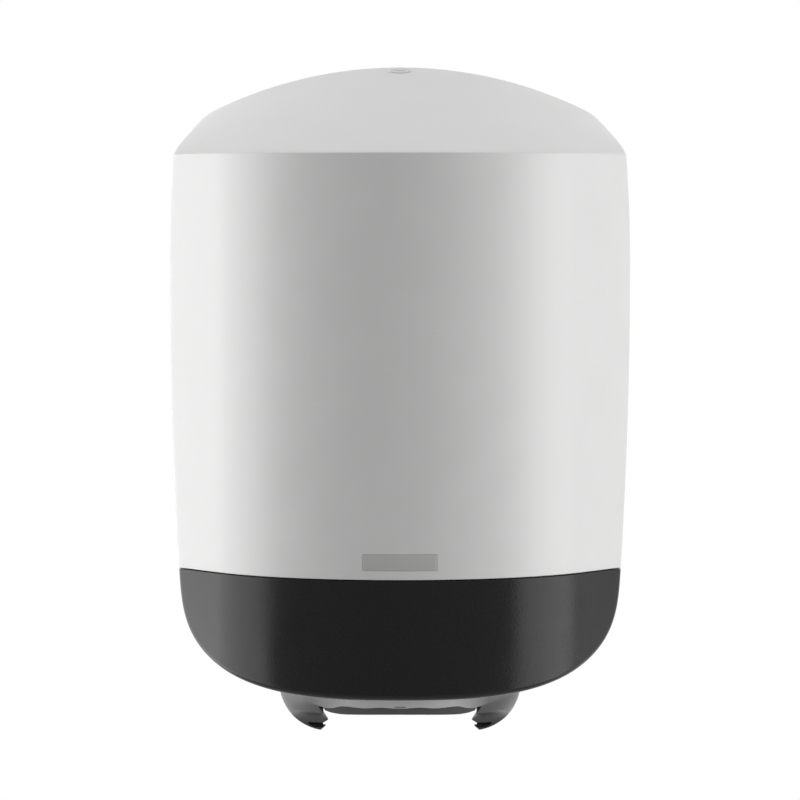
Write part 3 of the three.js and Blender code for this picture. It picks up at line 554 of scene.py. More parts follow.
class Nodes:
    """A node tree, with short calls that add a node and feed its inputs."""

    def __init__(self, tree: bpy.types.NodeTree) -> None:
        """Works on a tree."""
        self.tree = tree

    def feed(self, socket: Socket, value: object) -> None:
        """Leads an output to an input, or gives the input a value.

        Args:
            socket: The input.
            value: The output or the value.
        """
        if isinstance(value, Socket):
            self.tree.links.new(value, socket)
        else:
            socket.default_value = value

    def node(self, kind: str, **values: object) -> bpy.types.Node:
        """Adds a node and feeds its inputs.

        Args:
            kind: Its type.
            **values: What its inputs take, by their names with _ for a space.

        Returns:
            The node.
        """
        node = self.tree.nodes.new(kind)
        for name, value in values.items():
            plain = name.replace("_", " ")
            self.feed(next(each for each in node.inputs if each.name == plain and each.enabled), value)
        return node

    def maths(self, operation: str, *values: float | Socket) -> Socket:
        """A sum on values and sockets.

        Args:
            operation: The kind of sum.
            *values: What it works on.

        Returns:
            The result.
        """
        node = self.node("ShaderNodeMath")
        node.operation = operation
        for socket, value in zip(node.inputs, values):
            self.feed(socket, value)
        return node.outputs["Value"]

    def ranged(self, source: Socket, low: float, high: float, start: float = 0.3, end: float = 0.7) -> Socket:
        """Brings values from between start and end to between low and high."""
        limits = {"From_Min": start, "From_Max": end, "To_Min": low, "To_Max": high}
        return self.node("ShaderNodeMapRange", Value=source, **limits).outputs["Result"]


class Layout(Enum):
    """The ways in which copies of a piece are laid out."""

    RING = "ring"
    POINTS = "points"


class Repeater(Nodes):
    """A Geometry Nodes tree that lays out copies of a piece and makes them one mesh."""

    INPUTS = {
        "Geometry": "NodeSocketGeometry", "Piece": "NodeSocketObject", "Finish": "NodeSocketMaterial",
        "Middle": "NodeSocketVector", "Count": "NodeSocketInt", "Reach": "NodeSocketFloat",
        "Start": "NodeSocketFloat", "Loose Turn": "NodeSocketFloat", "Seed": "NodeSocketInt",
    }

    def __init__(self, layout: Layout) -> None:
        """Builds the tree for one layout.

        Args:
            layout: RING for even places about a middle, POINTS for the points of the mesh that it works on.
        """
        super().__init__(bpy.data.node_groups.new(f"repeat_{layout.value}", "GeometryNodeTree"))
        self.layout = layout
        self.names: dict[str, str] = {}
        for name, kind in self.INPUTS.items():
            socket = self.tree.interface.new_socket(name=name, in_out="INPUT", socket_type=kind)
            self.names[name] = socket.identifier
        self.tree.interface.new_socket(name="Geometry", in_out="OUTPUT", socket_type="NodeSocketGeometry")
        self.given = self.node("NodeGroupInput").outputs
        source = self.node("GeometryNodeObjectInfo", Object=self.given["Piece"]).outputs["Geometry"]
        turn = self.node("FunctionNodeAxisAngleToRotation", Axis=(0, 0, 1), Angle=self.turn())
        copies = self.node("GeometryNodeInstanceOnPoints", Points=self.places(), Instance=source,
                           Rotation=turn.outputs["Rotation"])
        real = self.node("GeometryNodeRealizeInstances", Geometry=copies.outputs["Instances"])
        dressed = self.node("GeometryNodeSetMaterial", Geometry=real.outputs["Geometry"],
                            Material=self.given["Finish"])
        self.node("NodeGroupOutput", Geometry=dressed.outputs["Geometry"])

    def turn(self) -> Socket:
        """The angle of each copy: outwards in a ring, and loose by a random share of a turn.

        Returns:
            The angle.
        """
        chance = self.node("FunctionNodeRandomValue", Seed=self.given["Seed"])
        share = next(socket for socket in chance.outputs if socket.enabled)
        loose = self.maths("ADD", self.given["Start"], self.maths("MULTIPLY", share, self.given["Loose Turn"]))
        if self.layout is Layout.POINTS:
            return loose
        step = self.maths("DIVIDE", 2 * math.pi, self.given["Count"])
        index = self.node("GeometryNodeInputIndex").outputs["Index"]
        return self.maths("ADD", self.maths("MULTIPLY", index, step), loose)

    def places(self) -> Socket:
        """The points that carry the copies.

        Returns:
            The points.
        """
        if self.layout is Layout.POINTS:
            return self.given["Geometry"]
        circle = self.node("GeometryNodeMeshCircle", Vertices=self.given["Count"], Radius=self.given["Reach"])
        start = self.node("FunctionNodeAxisAngleToRotation", Axis=(0, 0, 1), Angle=self.given["Start"])
        placed = self.node("GeometryNodeTransform", Geometry=circle.outputs["Mesh"],
                           Translation=self.given["Middle"], Rotation=start.outputs["Rotation"])
        return placed.outputs["Geometry"]

    def made(self, name: str, piece: Solid, finish: "Finish", points: Sequence[Flat] = (),
             **sizes: float | int | Point) -> Solid:
        """Repeats a piece and makes the copies one plain mesh.

        Args:
            name: Name of the new object.
            piece: The piece to repeat, made about the upright axis. It is used up.
            finish: Finish of the copies.
            points: Places for the POINTS layout.
            **sizes: The tree's other inputs by their names, with _ for a space. Its middle is the
                outlet's axis.

        Returns:
            The object with all the copies.
        """
        mesh = bpy.data.meshes.new(name)
        mesh.from_pydata([(x, y, 0) for x, y in points], [], [])
        holder = stood(name, mesh)
        step = holder.modifiers.new("repeat", "NODES")
        step.node_group = self.tree
        step[self.names["Piece"]] = piece
        step[self.names["Finish"]] = painted(finish)
        step[self.names["Middle"]] = (0, -FORM.axis, 0)
        for size, value in sizes.items():
            step[self.names[size.replace("_", " ")]] = value
        settled(holder)
        bpy.data.meshes.remove(piece.data)
        return holder


IN_RING = Repeater(Layout.RING)
AT_POINTS = Repeater(Layout.POINTS)


@dataclass(frozen=True)
class LipLine:
    """The scalloped line under the outlet's light ring, below which the colour is darker: painted shade on the
    band under the ring, and the claws' dark plastic.
    """

    level: float = -10.9 * MM
    wave: float = 0.3 * MM
    pitch: float = 21 * MM
    blur: float = 0.05 * MM
    dip: float = 1 * MM
    dip_start: float = 33 * MM
    dip_end: float = 38 * MM
    claw_half: float = 44 * MM
    rise: float = 0.25
    soften: float = 0.1
    # Where the painted shade on the ring beside the claws, and the turn from the band's painted shade to the
    # claws' dark plastic, start and end across.
    fade_start: float = 30 * MM
    fade_end: float = 50 * MM

    def level_at(self, x: float) -> float:
        """The line's level at x: it dips before the claws and rises beside them.

        Args:
            x: Place across the outlet.

        Returns:
            The level.
        """
        rise = self.rise * max(abs(x) - self.claw_half, 0)
        dip = self.dip * min(max((abs(x) - self.dip_start) / (self.dip_end - self.dip_start), 0), 1)
        return self.level + rise - dip - self.wave * math.cos(2 * math.pi * x / self.pitch)


LIP = LipLine()


class Recipe(Nodes):
    """A material's node tree, with short calls for the few kinds of node that the finishes use."""

    def __init__(self, name: str) -> None:
        """Starts a material with its shader.

        Args:
            name: Name of the material.
        """
        self.material = bpy.data.materials.new(name)
        self.material.use_nodes = True
        super().__init__(self.material.node_tree)
        self.shader = self.tree.nodes["Principled BSDF"]
        self.place = self.node("ShaderNodeTexCoord").outputs["Object"]

    def noise(self, size: float, detail: float, rough: float = 0.5) -> Socket:
        """Noise about 0.5 whose marks are about as wide as a size, with finer layers of a strength."""
        values = {"Scale": 1 / size, "Detail": detail, "Roughness": rough}
        return self.node("ShaderNodeTexNoise", Vector=self.place, **values).outputs["Fac"]

    def cells(self, size: float) -> Socket:
        """Distance to the middle of rounded cells.

        Args:
            size: Their width.

        Returns:
            The distance.
        """
        node = self.node("ShaderNodeTexVoronoi", Scale=1 / size, Vector=self.place)
        node.feature = "SMOOTH_F1"
        return node.outputs["Distance"]

    def mixed(self, share: Socket, *colours: Point | Socket) -> Socket:
        """A colour between two, by a share. Each is a value or comes from a socket.

        Args:
            share: 0 for the first colour, 1 for the second.
            *colours: The two colours.

        Returns:
            The colour.
        """
        node = self.node("ShaderNodeMix")
        node.data_type = "RGBA"
        for socket, colour in zip((socket for socket in node.inputs if socket.type == "RGBA"), colours):
            self.feed(socket, (*colour, 1) if isinstance(colour, tuple) else colour)
        self.feed(node.inputs["Factor"], share)
        return next(socket for socket in node.outputs if socket.type == "RGBA")

    def under(self) -> Socket:
        """1 under the scalloped line round the outlet, where the band under the ring gets painted shade, and 0
        above it.

        Returns:
            The share.
        """
        node = self.node("ShaderNodeSeparateXYZ", Vector=self.place)
        turn = self.maths("MULTIPLY", node.outputs["X"], 2 * math.pi / LIP.pitch)
        wave = self.maths("MULTIPLY", self.maths("COSINE", turn), LIP.wave)
        side = self.maths("ABSOLUTE", node.outputs["X"])
        beyond = self.maths("MAXIMUM", self.maths("SUBTRACT", side, LIP.claw_half), 0.0)
        dip = self.ranged(side, 0, LIP.dip, LIP.dip_start, LIP.dip_end)
        rise = self.maths("SUBTRACT", self.maths("MULTIPLY", beyond, LIP.rise), dip)
        height = self.maths("SUBTRACT", self.maths("ADD", node.outputs["Z"], wave), rise)
        above = self.maths("SUBTRACT", height, LIP.level - FORM.mount_level)
        blur = self.maths("ADD", self.maths("MULTIPLY", beyond, LIP.soften), LIP.blur)
        return self.ranged(self.maths("DIVIDE", above, blur), 1, 0, -1, 1)

    def beside(self) -> Socket:
        """1 at the claws and 0 in the middle between them: painted shade darkens the ring towards the claws,
        and the band's painted shade turns into the claws' dark plastic.
        """
        node = self.node("ShaderNodeSeparateXYZ", Vector=self.place)
        return self.ranged(self.maths("ABSOLUTE", node.outputs["X"]), 0, 1, LIP.fade_start, LIP.fade_end)

    def raised(self, height: Socket, depth: float, under: Socket | None = None) -> Socket:
        """A normal that a height of values 0 to 1 raises by a depth, over another normal if one is given.

        Args:
            height: Values 0 to 1.
            depth: How far a value of 1 stands out.
            under: The normal under it, if there is one.

        Returns:
            The normal.
        """
        node = self.node("ShaderNodeBump", Strength=1, Distance=depth, Height=height)
        if under is not None:
            self.feed(node.inputs["Normal"], under)
        return node.outputs["Normal"]


@dataclass(frozen=True)
class Finish:
    """A moulded or metal surface: its colour, its gloss, and the grain that its making leaves."""

    name: str
    slot: str
    colour: Point
    roughness: float
    grain: Grain = Grain.SATIN
    grain_size: float = 0.6 * MM
    grain_depth: float = 0.01 * MM
    mottle: float = 0.04
    gloss_spread: float = 0.05
    specular: float = 0.5
    metallic: float = 0.0
    # The outlet's colour under the scalloped line: painted shade on the band under the ring, then the claws'
    # dark plastic.
    painted_lip_shade: Point | None = None
    lip_roughness: float = 0.12
    claw_colour: Point = (0, 0, 0)
    # Painted shade that darkens the outlet's ring beside the claws.
    painted_side_shade: Point = (0, 0, 0)

    def tint(self, share: float) -> Point:
        """The colour, lighter or darker by a share."""
        return tuple(min(value * (1 + share), 1) for value in self.colour)

    def material(self) -> bpy.types.Material:
        """Makes the finish's material.

        Returns:
            A node material that reads the object's own coordinates.
        """
        recipe = Recipe(self.name)
        inputs = recipe.shader.inputs
        recipe.feed(inputs["Metallic"], self.metallic)
        recipe.feed(inputs["Specular IOR Level"], self.specular)
        cloud = recipe.noise(40 * self.grain_size, 4)
        speckle = recipe.noise(self.grain_size, 2)
        blend = recipe.ranged(speckle if self.grain is Grain.PEBBLE else cloud, 0, 1)
        colour = recipe.mixed(blend, self.tint(-self.mottle), self.tint(self.mottle))
        gloss = recipe.ranged(cloud, self.roughness - self.gloss_spread, self.roughness + self.gloss_spread)
        # Under the scalloped line the colour is painted shade on the band under the ring, turning into the
        # claws' dark plastic; above it, painted shade darkens the ring beside the claws.
        if self.painted_lip_shade is not None:
            under, beside = recipe.under(), recipe.beside()
            lip = recipe.mixed(beside, self.painted_lip_shade, self.claw_colour)
            colour = recipe.mixed(under, recipe.mixed(beside, colour, self.painted_side_shade), lip)
            smoother = recipe.maths("MULTIPLY", under, self.roughness - self.lip_roughness)
            gloss = recipe.maths("SUBTRACT", gloss, smoother)
        recipe.feed(inputs["Base Color"], colour)
        recipe.feed(inputs["Roughness"], gloss)
        recipe.feed(inputs["Normal"], self.relief(recipe, speckle))
        return recipe.material

    def relief(self, recipe: Recipe, speckle: Socket) -> Socket:
        """The normal that the grain gives.

        Args:
            recipe: The material's nodes.
            speckle: Fine noise at the grain's size.

        Returns:
            The normal's socket.
        """
        if self.grain is Grain.PEBBLE:
            cells = recipe.raised(recipe.cells(self.grain_size), self.grain_depth)
            return recipe.raised(speckle, self.grain_depth / 2, cells)
        if self.grain is Grain.RUBBED:
            wear = recipe.noise(6 * self.grain_size, 5, 0.65)
            return recipe.raised(wear, self.grain_depth, recipe.raised(speckle, self.grain_depth / 2))
        if self.grain is Grain.GLOSS:
            swell = recipe.noise(30 * self.grain_size, 1)
            return recipe.raised(swell, self.grain_depth)
        waves = recipe.noise(12 * self.grain_size, 1)
        return recipe.raised(speckle, self.grain_depth, recipe.raised(waves, self.grain_depth * 4))


WHITE = Finish("white_satin_plastic", "cover", (0.80, 0.80, 0.795), 0.36, mottle=0.012)
CHARCOAL = Finish("charcoal_grained_plastic", "base", (0.012, 0.012, 0.0125), 0.22, Grain.PEBBLE,
                  grain_size=0.9 * MM, grain_depth=0.04 * MM, mottle=0.25, specular=0.22)
BADGE = Finish("badge_grey_satin", "badge", (0.575, 0.575, 0.57), 0.30, mottle=0.02)
# Pale grey ring; under the scalloped line, painted shade on the band and the claws' dark plastic; beside the
# claws, painted shade on the ring.
NOZZLE = Finish("outlet_plastic", "nozzle", (0.74, 0.74, 0.745), 0.5, Grain.GLOSS, grain_size=0.7 * MM,
                grain_depth=0.05 * MM, mottle=0.03, painted_lip_shade=(0.075, 0.075, 0.078), lip_roughness=0.38,
                claw_colour=(0.055, 0.055, 0.057), painted_side_shade=(0.14, 0.14, 0.142))
LOCK = Finish("lock_pale_plastic", "lock", (0.78, 0.78, 0.78), 0.38, grain_size=0.3 * MM,
              grain_depth=0.008 * MM, mottle=0.02)
PLATE = Finish("wall_plate_grey_plastic", "plate", (0.42, 0.42, 0.425), 0.5,
               grain_depth=0.03 * MM, mottle=0.03)
SHELF = Finish("shelf_grey_plastic", "shelf", (0.30, 0.30, 0.305), 0.48,
               grain_depth=0.03 * MM, mottle=0.04)
RUBBER = Finish("brake_rubber", "rubber", (0.018, 0.018, 0.018), 0.7, Grain.PEBBLE,
                grain_size=0.5 * MM, grain_depth=0.04 * MM, mottle=0.2, specular=0.3)
NYLON = Finish("bush_nylon", "nylon", (0.68, 0.66, 0.60), 0.5, grain_size=0.4 * MM, mottle=0.03)
STEEL = Finish("screw_steel", "steel", (0.56, 0.57, 0.58), 0.3, Grain.RUBBED,
               grain_size=0.3 * MM, grain_depth=0.012 * MM, mottle=0.08, metallic=1.0)
ZINC = Finish("cam_zinc", "zinc", (0.50, 0.51, 0.50), 0.38, Grain.RUBBED,
              grain_size=0.4 * MM, grain_depth=0.02 * MM, mottle=0.1, metallic=1.0)


@cache
def painted(finish: Finish) -> bpy.types.Material:
    """A finish's material, which is made once."""
    return finish.material()


def dressed(piece: Solid, finish: Finish) -> None:
    """Gives every face of a piece a finish."""
    piece.data.materials.clear()
    piece.data.materials.append(painted(finish))


def carried(piece: Solid, body: Carrier, finish: Finish, *nodes: str, sharp: float = 32) -> None:
    """Shades and dresses a finished piece, puts it in place of its nodes and lets it ride on its body.

    Args:
        piece: The finished piece.
        body: The body that carries it.
        finish: Its finish.
        *nodes: The nodes that it stands for.
        sharp: The least angle of an edge that isn't shaded smooth.
    """
    shaded(piece, sharp)
    dressed(piece, finish)
    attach(piece, body.value)
    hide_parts(*nodes)
    log.info("%s: %d faces, on %s", piece.name, len(piece.data.polygons), body.value)


@dataclass
class ScrewPlaces:
    """Where the screws of the front stand, and the posts that take them."""

    front_reach: float = 112 * MM
    front_angle: float = math.radians(35)
    rear_half: float = 106 * MM
    rear_off: float = 32 * MM
    post_radius: float = 4.5 * MM
    tongue_rise: float = 3.2 * MM
    shelf_reach: float = 92 * MM
    nozzle_reach: float = 75 * MM
    ring_reach: float = 24.7 * MM
    ring_hole: float = 1.3 * MM
    ring_pilot: float = 0.8 * MM
    screw_radius: float = 1.5 * MM
    head_radius: float = 3.4 * MM

    @property
    def clearance(self) -> float:
        """Radius of the holes that the largest screws pass."""
        return self.screw_radius + FORM.fit_gap

    @property
    def post_top(self) -> float:
        """Level of the tops of the posts that carry the cover's tabs."""
        return FORM.seam_level + self.tongue_rise + FORM.fit_gap

    @property
    def tab_level(self) -> float:
        """Level of the underside of the cover's tabs."""
        return self.post_top + FORM.fit_gap

    def cover(self) -> list[tuple[float, float, float, float]]:
        """The cover's four screws.

        Returns:
            For each, its place across and along, the way that its tab turns and how far it reaches.
        """
        places = []
        for side in (-1, 1):
            x = side * self.front_reach * math.sin(self.front_angle)
            y = -(FORM.axis + self.front_reach * math.cos(self.front_angle))
            reach = FORM.radius - FORM.wall / 2 - self.front_reach
            places.append((x, y, -side * self.front_angle, reach))
            reach = FORM.side_half(FORM.seam_level) - FORM.wall / 2 - self.rear_half
            places.append((side * self.rear_half, -self.rear_off, -side * math.pi / 2, reach))
        return places

    def around(self, reach: float, count: int, start: float) -> list[Flat]:
        """Places evenly round the outlet's axis."""
        angles = [start + index * 2 * math.pi / count for index in range(count)]
        return [(reach * math.cos(angle), -FORM.axis + reach * math.sin(angle)) for angle in angles]


SCREWS = ScrewPlaces()


@dataclass(frozen=True)
class EdgeRound:
    """The round between a wall and the top at one point of the ridge's outline."""

    TRIES = 12
    NEAR = 0.02 * MM

    radius: float
    middle: float
    slope: float

    @classmethod
    def fitted(cls, radius: float, height: Callable[[float], float]) -> "EdgeRound":
        """Rolls a ball of a radius into the corner under the top.

        Args:
            radius: Radius of the ball.
            height: The top's level, at a distance in from the wall's face.

        Returns:
            The round that touches both.
        """
        reach, slope = radius, 0.0
        for _ in range(cls.TRIES):
            slope = math.atan2(height(reach) - height(reach - cls.NEAR), cls.NEAR)
            reach = radius * (1 - math.sin(slope))
        return cls(radius, height(reach) - radius * math.cos(slope), slope)

    def at(self, share: float) -> Flat:
        """Distance in from the wall's face and level, a share of the way round."""
        angle = lerp(math.pi, math.pi / 2 + self.slope, share)
        return self.radius * (1 + math.cos(angle)), self.middle + self.radius * math.sin(angle)


@dataclass
class CoverShell:
    """The white cover: level sections lofted to a crisp ridge, and a ruled top that runs up to the arch."""

    ridge_round: float = 1.1 * MM
    shoulder_radius: float = 30 * MM
    shoulder_power: float = 2.1
    round_steps: int = 7
    lip_round: float = 0.5 * MM
    lip_steps: int = 3
    levels: int = 44
    tab_thickness: float = 3 * MM
    badge_gap: float = 0.1 * MM
    lock_hole: float = 5.7 * MM
    lock_depth: float = 10.5 * MM
    lock_steps: int = 64

    def ball(self, index: int, inset: float) -> float:
        """Radius of the round over one point of the outline: it grows along the side towards the wall."""
        share = max(1 - index / FORM.side_steps, 0) ** self.shoulder_power
        return max(lerp(self.ridge_round, self.shoulder_radius, share) - inset, FORM.fit_gap)

    def rounds(self, inset: float) -> tuple[list[EdgeRound], list[Flat]]:
        """The rounds between walls and top, for the right half of the outline.

        Args:
            inset: Distance in from the outer face.

        Returns:
            The round over each point, and the way in from that point.
        """
        ridge = FORM.half_section(FORM.ridge_level, inset)
        beside = FORM.half_section(FORM.ridge_level, inset + FORM.fit_gap)
        rounds, ways = [], []
        for index, ((x, y), (near_x, near_y)) in enumerate(zip(ridge, beside)):
            way = Vector((near_x - x, near_y - y)).normalized()
            if index <= FORM.side_steps:
                way = Vector((-1, 0))
            rounds.append(EdgeRound.fitted(
                self.ball(index, inset),
                lambda reach, x=x, y=y, way=way: FORM.top_at(x + reach * way.x, y + reach * way.y, inset)))
            ways.append((way.x, way.y))
        return rounds, ways

    def rows(self, inset: float) -> tuple[list[list[Point]], list[list[Point]]]:
        """The walls with their rounded ridge and shoulders, and the top inside them.

        Args:
            inset: Distance in from the outer face.

        Returns:
            Rows of the walls from the seam up, and rows of the top from the ridge back.
        """
        foot = FORM.seam_level + FORM.seam_gap / 2
        side = FORM.side_steps
        rounds, ways = self.rounds(inset)
        turn = math.copysign(self.lip_round, 1 if inset == 0 else -1)
        walls = []
        for angle in spread(0, math.pi / 2, self.lip_steps)[:-1]:
            level = foot + self.lip_round * (1 - math.cos(angle))
            half = FORM.half_section(level, inset + turn * (1 - math.sin(angle)))
            walls.append(mirrored([(x, y, level) for x, y in half]))
        for share in spread(0, 1, self.levels):
            section = FORM.half_section(lerp(foot, rounds[-1].middle, share), inset)
            half = []
            for index, (x, y) in enumerate(section):
                level = lerp(foot + self.lip_round, rounds[index].middle, share)
                half.append((FORM.side_half(level) - inset if index <= side else x, y, level))
            walls.append(mirrored(half))
        ridge = FORM.half_section(FORM.ridge_level, inset)
        for share in spread(0, 1, self.round_steps)[1:]:
            half = []
            for (x, y), ball, way in zip(ridge, rounds, ways):
                reach, level = ball.at(share)
                half.append((x + reach * way[0], y + reach * way[1], level))
            walls.append(mirrored(half))
        front = half[side:]
        top = []
        for step, (edge_x, _, _) in enumerate(half[side::-1]):
            row = [(x * edge_x / front[0][0], lerp(y, -FORM.rim_gap, step / side)) for x, y, _ in front]
            flat = [(x, y, FORM.top_at(x, y, inset)) for x, y in row]
            flat[0] = half[side - step]
            top.append(mirrored(flat))
        top[0] = mirrored(front)
        return walls, top

    def tab(self, x: float, y: float, turn: float, reach: float) -> Solid:
        """A tab that stands out from the inner wall and ends round about its screw.

        Args:
            x: Place of the screw across.
            y: Its place along.
            turn: How far the tab is turned.
            reach: How far it reaches back to the wall.

        Returns:
            The tab.
        """
        half = SCREWS.post_radius + FORM.fit_gap
        outline = [(half, -reach), *arc(0, 0, half, 0, 180, 16), (-half, -reach)]
        cos, sin = math.cos(-turn), math.sin(-turn)
        placed = [(x + a * cos - b * sin, y + a * sin + b * cos) for a, b in outline]
        return prism("tab", placed, SCREWS.tab_level, SCREWS.tab_level + self.tab_thickness, upwards)

    def build(self) -> None:
        """Makes the cover with its tabs, the badge's recess and the lock's hole."""
        outer_walls, outer_top = self.rows(0)
        inner_walls, inner_top = self.rows(FORM.wall)
        skin = Skin().patch(outer_walls).patch(outer_top).patch(inner_walls).patch(inner_top)
        skin.patch([outer_walls[0], inner_walls[0]])
        skin.patch([open_edge(outer_walls, outer_top[-1]), open_edge(inner_walls, inner_top[-1])])
        piece = skin.piece("cover")
        worked(piece, [self.tab(*place) for place in SCREWS.cover()], Work.JOIN)
        ring = column(self.lock_hole, -self.lock_depth, self.lock_depth)
        cuts = [turned("lock_hole", ring, 0, 0, self.lock_steps, FORM.lock_place),
                BadgePlate().form(self.badge_gap, FORM.overrun)]
        for x, y, _, _ in SCREWS.cover():
            cuts.append(bar(x, y, SCREWS.clearance, SCREWS.tab_level - FORM.overrun,
                            SCREWS.tab_level + self.tab_thickness + FORM.overrun))
        worked(piece, cuts, Work.CUT)
        carried(piece, Carrier.FRONT, WHITE, "cover_shell")


@dataclass
class BadgePlate:
    """The small bare plate low on the front."""

    width: float = 41.5 * MM
    height: float = 9 * MM
    level: float = 70.9 * MM
    thickness: float = 0.6 * MM
    proud: float = 0.1 * MM
    edge: float = 0.12 * MM
    steps: int = 20

    def form(self, gap: float, proud: float) -> Solid:
        """A curved block as wide as the plate and a gap, proud of the front.

        Args:
            gap: Room left all round.
            proud: How far it stands out.

        Returns:
            The block.
        """
        half = math.degrees((self.width / 2 + gap) / FORM.radius)
        inner = FORM.radius + self.proud - self.thickness - gap
        outline = arc(0, -FORM.axis, FORM.radius + proud, -90 - half, -90 + half, self.steps)
        outline += arc(0, -FORM.axis, inner, -90 + half, -90 - half, self.steps)
        return prism("badge", outline, self.level - gap, self.level + self.height + gap, upwards)

    def build(self) -> None:
        """Makes the plate, with its edges eased."""
        piece = eased(self.form(0, self.proud), self.edge)
        carried(piece, Carrier.FRONT, BADGE, "badge_plate")


@dataclass
class BaseShell:
    """The charcoal base: a rounded trough whose edge is rolled over into the upright front."""

    stations: int = 130
    corner_steps: int = 9
    sag: float = 1.1 * MM
    lower_round: float = 4 * MM
    lower_share: float = 1.2
    lower_fade: float = 1.6
    lip_round: float = 0.4 * MM
    lip_steps: int = 3
    tongue_wall: float = 2.2 * MM
    tongue_drop: float = 8 * MM
    rear_post_drop: float = 19 * MM
    rear_web_width: float = 4 * MM
    rear_web_bite: float = 0.75
    shelf_post_radius: float = 5.4 * MM
    shelf_level: float = 22 * MM
    seat_level: float = 9.5 * MM
    seat_width: float = 9.6 * MM
    mouth_radius: float = 70.3 * MM
    lug_spread: float = 50 * MM
    lug_width: float = 6 * MM
    lug_radius: float = 6.2 * MM
    ear_width: float = 6 * MM
    ear_radius: float = 5.6 * MM
    pin_hole: float = 2.8 * MM
    screw_length: float = 12 * MM
    seat_screw_length: float = 5 * MM

    @property
    def top(self) -> float:
        """Level of the base's upper edge, under the seam."""
        return FORM.seam_level - FORM.seam_gap / 2

    def outline_at(self, turn: float) -> Flat:
        """A point of the base's outline seen from the front, right half, for a turn from 0 to a right angle.

        Args:
            turn: The turn.

        Returns:
            Its place across and its level.
        """
        power = 2 / FORM.base_power
        level = FORM.seam_level - (FORM.seam_level + self.sag) * math.sin(turn) ** power
        return FORM.side_half(level) * max(math.cos(turn), 0) ** power, level

    def turns(self) -> list[float]:
        """Turns that lie evenly along the outline, from the seam down to the middle of the bottom.

        Returns:
            The turns.
        """
        fine = spread(0, math.pi / 2, 40 * self.stations)
        places = [self.outline_at(turn) for turn in fine]
        lengths = [0.0]
        for before, after in zip(places, places[1:]):
            lengths.append(lengths[-1] + math.dist(before, after))
        wanted = spread(0, lengths[-1], self.stations)
        turns, at = [], 0
        for length in wanted[1:-1]:
            while lengths[at + 1] < length:
                at += 1
            share = (length - lengths[at]) / (lengths[at + 1] - lengths[at])
            turns.append(lerp(fine[at], fine[at + 1], share))
        return [0.0, *turns, math.pi / 2]

    def rear_at(self, level: float) -> float:
        """How far the rear edge stays from the wall: the heel is round about the hinge.

        Args:
            level: Height of the edge.

        Returns:
            The distance.
        """
        drop = FORM.hinge_level - level
        if drop <= 0:
            return FORM.rim_gap
        heel = FORM.hinge_off - FORM.plate_thickness - FORM.run_gap
        return max(FORM.hinge_off - math.sqrt(max(heel**2 - drop**2, 0)), FORM.rim_gap)

    def station(self, turn: float, inset: float) -> list[Point]:
        """One station of the skin: from the wall forwards, round the rolled edge and up to the seam.

        Args:
            turn: Where the station lies on the outline.
            inset: Distance in from the outer face.

        Returns:
            The station's points on the right-hand side.
        """
        step = 1e-4
        x, level = self.outline_at(turn)
        before = self.outline_at(max(turn - step, 0))
        after = self.outline_at(min(turn + step, math.pi / 2))
        along = Vector((after[0] - before[0], after[1] - before[1])).normalized()
        normal = Vector((-along.y, along.x))
        if turn == 0:
            normal = Vector((1, 0))
        if turn == math.pi / 2:
            normal = Vector((0, -1))
        lower = min(max(self.lower_share - self.lower_fade * level / FORM.seam_level, 0), 1)
        radius = lerp(FORM.edge_radius, self.lower_round, lower)
        centre_x = max(x - radius * normal.x, 0)
        centre_z = level - radius * normal.y
        front, angle = FORM.front_at(centre_x, radius)
        side = Vector((normal.x, 0, normal.y))
        ahead = Vector((math.sin(angle), -math.cos(angle), 0))
        middle = Vector((centre_x, -front, centre_z))
        reach = radius - inset
        skin = [Vector((centre_x + reach * side.x, -self.rear_at(level), centre_z + reach * side.z))]
        opening = side.angle(ahead)
        for part in spread(0, opening, self.corner_steps):
            way = (math.sin(opening - part) * side + math.sin(part) * ahead) / math.sin(opening)
            skin.append(middle + reach * way)
        last = skin[-1]
        skin.append(Vector((last.x, last.y, self.top - self.lip_round)))
        for bend in spread(0, math.pi / 2, self.lip_steps)[1:]:
            bite = self.lip_round * (1 - math.cos(bend)) * (1 if inset == 0 else -1)
            back = last - bite * ahead
            skin.append(Vector((back.x, back.y, self.top - self.lip_round * (1 - math.sin(bend)))))
        rounded = self.top - self.lip_round
        points = []
        for index, point in enumerate(skin):
            ceiling = rounded if index <= self.corner_steps + 1 else self.top
            points.append((point.x, point.y, min(point.z, ceiling)))
        return points

    def rows(self, inset: float) -> list[list[Point]]:
        """Rows of the skin, each from the left side under the bottom to the right side.

        Args:
            inset: Distance in from the outer face.

        Returns:
            The rows, from the wall forwards and up.
        """
        right = [self.station(turn, inset) for turn in self.turns()]
        left = [[(-x, y, z) for x, y, z in station] for station in right]
        stations = left + right[-2::-1]
        return [[station[row] for station in stations] for row in range(len(stations[0]))]

    def bulk(self, inset: float) -> Solid:
        """The whole room that the base takes up, inset from its outer face.

        Args:
            inset: Distance in from the outer face.

        Returns:
            The closed form.
        """
        rows = self.rows(inset)
        skin = Skin().patch(rows)
        skin.fan((0, -FORM.axis, self.top), open_edge(rows, rows[-1]))
        skin.fan((0, -FORM.hinge_off, self.top / 2), rows[0][::-1])
        return skin.piece("bulk")

    def band(self, outer: float, inner: float, bottom: float, top: float) -> Solid:
        """A band that follows the walls between two insets, open at the wall.

        Args:
            outer: Inset of its outer face.
            inner: Inset of its inner face.
            bottom: Level of its lower edge.
            top: Level of its upper edge.

        Returns:
            The band.
        """
        lines = []
        for inset in (outer, inner):
            half = FORM.half_section(FORM.seam_level, inset)
            lines.append(mirrored(half))
        ring = lines[0] + lines[1][::-1]
        return prism("band", ring, bottom, top, upwards)

